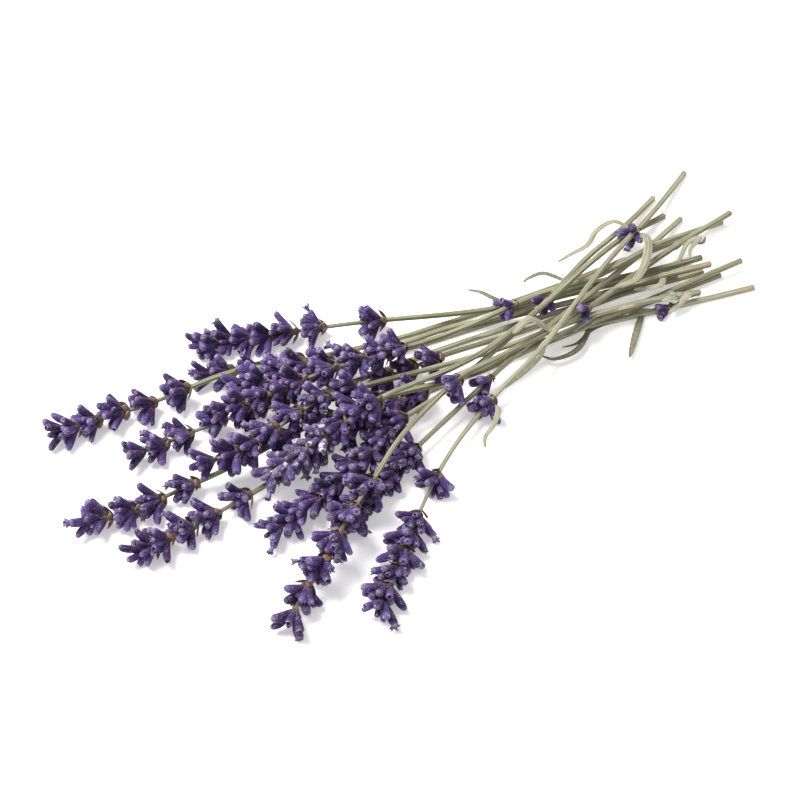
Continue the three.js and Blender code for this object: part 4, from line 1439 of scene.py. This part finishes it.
def sprigs_of_all(laid, shift, lots):
    """Everything that grows on the stalks: calyces, how frosted each is, bracts and scales."""
    heads = [calyces_of(stalk, number, shift) for number, stalk in enumerate(laid, 1)]
    crowd = Crowd(laid)
    for owner, head in enumerate(heads):
        for sprig in head:
            crowd.add_calyx(sprig, owner)
    calyces, frost, bracts, scales = [], [], [], []
    for number, stalk in enumerate(laid, 1):
        flowers = heads[number - 1] + fillers_of(stalk, number - 1, crowd)
        calyces += flowers
        for sprig in flowers:
            is_frosted = number == FROSTED and sprig.whorl < FROST_FROM
            frost.append(lots.uniform(LEAST_FROST, 1) if is_frosted else 0.0)
        bracts += bracts_of(stalk, stalk.buds, BUD_BRACT_START, BUD_BRACT)
        bracts += bracts_of(stalk, stalk.whorls, 360 * Lots(number + BRACT_LOTS).draw(), 1)
        scales += scales_of(stalk, [*stalk.buds, *stalk.whorls, LAST_WHORL], lots)
    return calyces, frost, bracts, scales


def build_heads(laid, shift):
    lots = np.random.default_rng(CALYX_SEED)
    calyces, frost, bracts, scales = sprigs_of_all(laid, shift, lots)
    kinds = lots.choice(len(KIND_SHARES), len(calyces), p=KIND_SHARES)
    sizes = [calyx_size(sprig) for sprig in calyces]
    source = grown_points("calyx_points", calyces, shift, sizes, kinds, frost)
    shapes = [calyx_mesh(name, rings) for name, rings in CALYX_SHAPES.items()]
    grow("calyces", shapes, source, CALYX_CHANGE, calyx_material(), [head for _, head in STALK_NODES])
    coats = [
        hair_coat(name + "_hairs", rings, seed)
        for seed, (name, rings) in enumerate(CALYX_SHAPES.items())
    ]
    grow("hairs", coats, source, CALYX_CHANGE, hair_material())
    open_ones = [
        k for k, kind in enumerate(kinds) if kind == OPEN_KIND and lots.random() < COROLLA_SHARE
    ]
    flowering = [calyces[k] for k in open_ones]
    sizes = [sizes[k] for k in open_ones]
    kinds = lots.integers(0, COROLLAS, len(flowering))
    source = grown_points("corolla_points", flowering, shift, sizes, kinds)
    shapes = [corolla_mesh(f"corolla_{k}", k) for k in range(COROLLAS)]
    grow("dried_flowers", shapes, source, COROLLA_CHANGE, corolla_material())
    papery = bract_material()
    grow_blades("bracts", blade_mesh("bract", **BRACT), bracts, shift, papery)
    grow_blades("scales", blade_mesh("scale", **SCALE), scales, shift, papery)


# ---------------------------------------------------------------- floor, light and camera

FLOOR_HALF = 2.0
FLOOR_TONE = 0.93
FLOOR_GLOW = 0.34
WORLD_STRENGTH = 0.42
FAR_FLOOR = FLOOR_TONE * WORLD_STRENGTH + FLOOR_GLOW  # as bright as the floor is far away
KEY_LIGHT = dict(place=(-0.35, 0.42, 0.84), size=0.65, power=15.5)
FILL_LIGHT = dict(place=(0.5, -0.6, 0.8), size=0.9, power=1.2)
VIEW_BELOW = 48
VIEW_TURN = 30
VIEW_DISTANCE = 672
VIEW_MIDDLE = (0, 0, 8)
LENS = 100
SENSOR = 36
NEAREST = 0.01


def build_floor():
    corners = [(-1, -1), (1, -1), (1, 1), (-1, 1)]
    points = [(FLOOR_HALF * x, FLOOR_HALF * y, 0) for x, y in corners]
    floor = new_object("floor", plain_mesh("floor", points, [(0, 1, 2, 3)]))
    paint = Paint("pale_floor", 0.9, 0.0)
    paint.plain({"Base Color": (FLOOR_TONE, FLOOR_TONE, FLOOR_TONE, 1), "Specular IOR Level": 0.0})
    paint.plain({"Emission Color": (1, 1, 1, 1), "Emission Strength": FLOOR_GLOW})
    floor.data.materials.append(paint.material)


def area_light(name, place, size, power):
    light = bpy.data.lights.new(name, "AREA")
    light.shape = "DISK"
    light.size = size
    light.energy = power
    lamp = new_object(name, light)
    lamp.location = place
    lamp.rotation_euler = (-Vector(place)).to_track_quat("-Z", "Y").to_euler()


def build_lights():
    world = bpy.data.worlds.new("studio")
    bpy.context.scene.world = world
    world.use_nodes = True
    tree = Tree(world.node_tree)
    background = world.node_tree.nodes["Background"].inputs
    background["Color"].default_value = (1, 1, 1, 1)
    seen = tree.add("ShaderNodeLightPath")["Is Camera Ray"]
    strength = tree.add("ShaderNodeMix", {0: seen, 2: WORLD_STRENGTH, 3: FAR_FLOOR})[0]
    tree.feed(background["Strength"], strength)
    area_light("key", **KEY_LIGHT)
    area_light("fill", **FILL_LIGHT)


def build_camera(shift):
    down, turn = math.radians(VIEW_BELOW), math.radians(VIEW_TURN)
    level = math.cos(down)
    ahead = np.array([math.sin(turn) * level, math.cos(turn) * level, -math.sin(down)])
    data = bpy.data.cameras.new("camera")
    data.lens = LENS
    data.sensor_width = SENSOR
    data.clip_start = NEAREST
    camera = new_object("camera", data)
    camera.location = (np.array(VIEW_MIDDLE) + shift - VIEW_DISTANCE * ahead) * MM
    camera.rotation_euler = Vector(ahead).to_track_quat("-Z", "Y").to_euler()
    bpy.context.scene.camera = camera


def main():
    laid = lay_all()
    shift = shift_of_solids(laid[PLAIN - 1], STALK_NODES[PLAIN - 1][0])
    solids = [corners_of(stem, shift) for stem, _ in STALK_NODES]
    build_stems(laid, shift, solids)
    build_heads(laid, shift)
    build_floor()
    build_lights()
    build_camera(shift)
    bpy.context.scene.view_settings.view_transform = "Standard"


main()
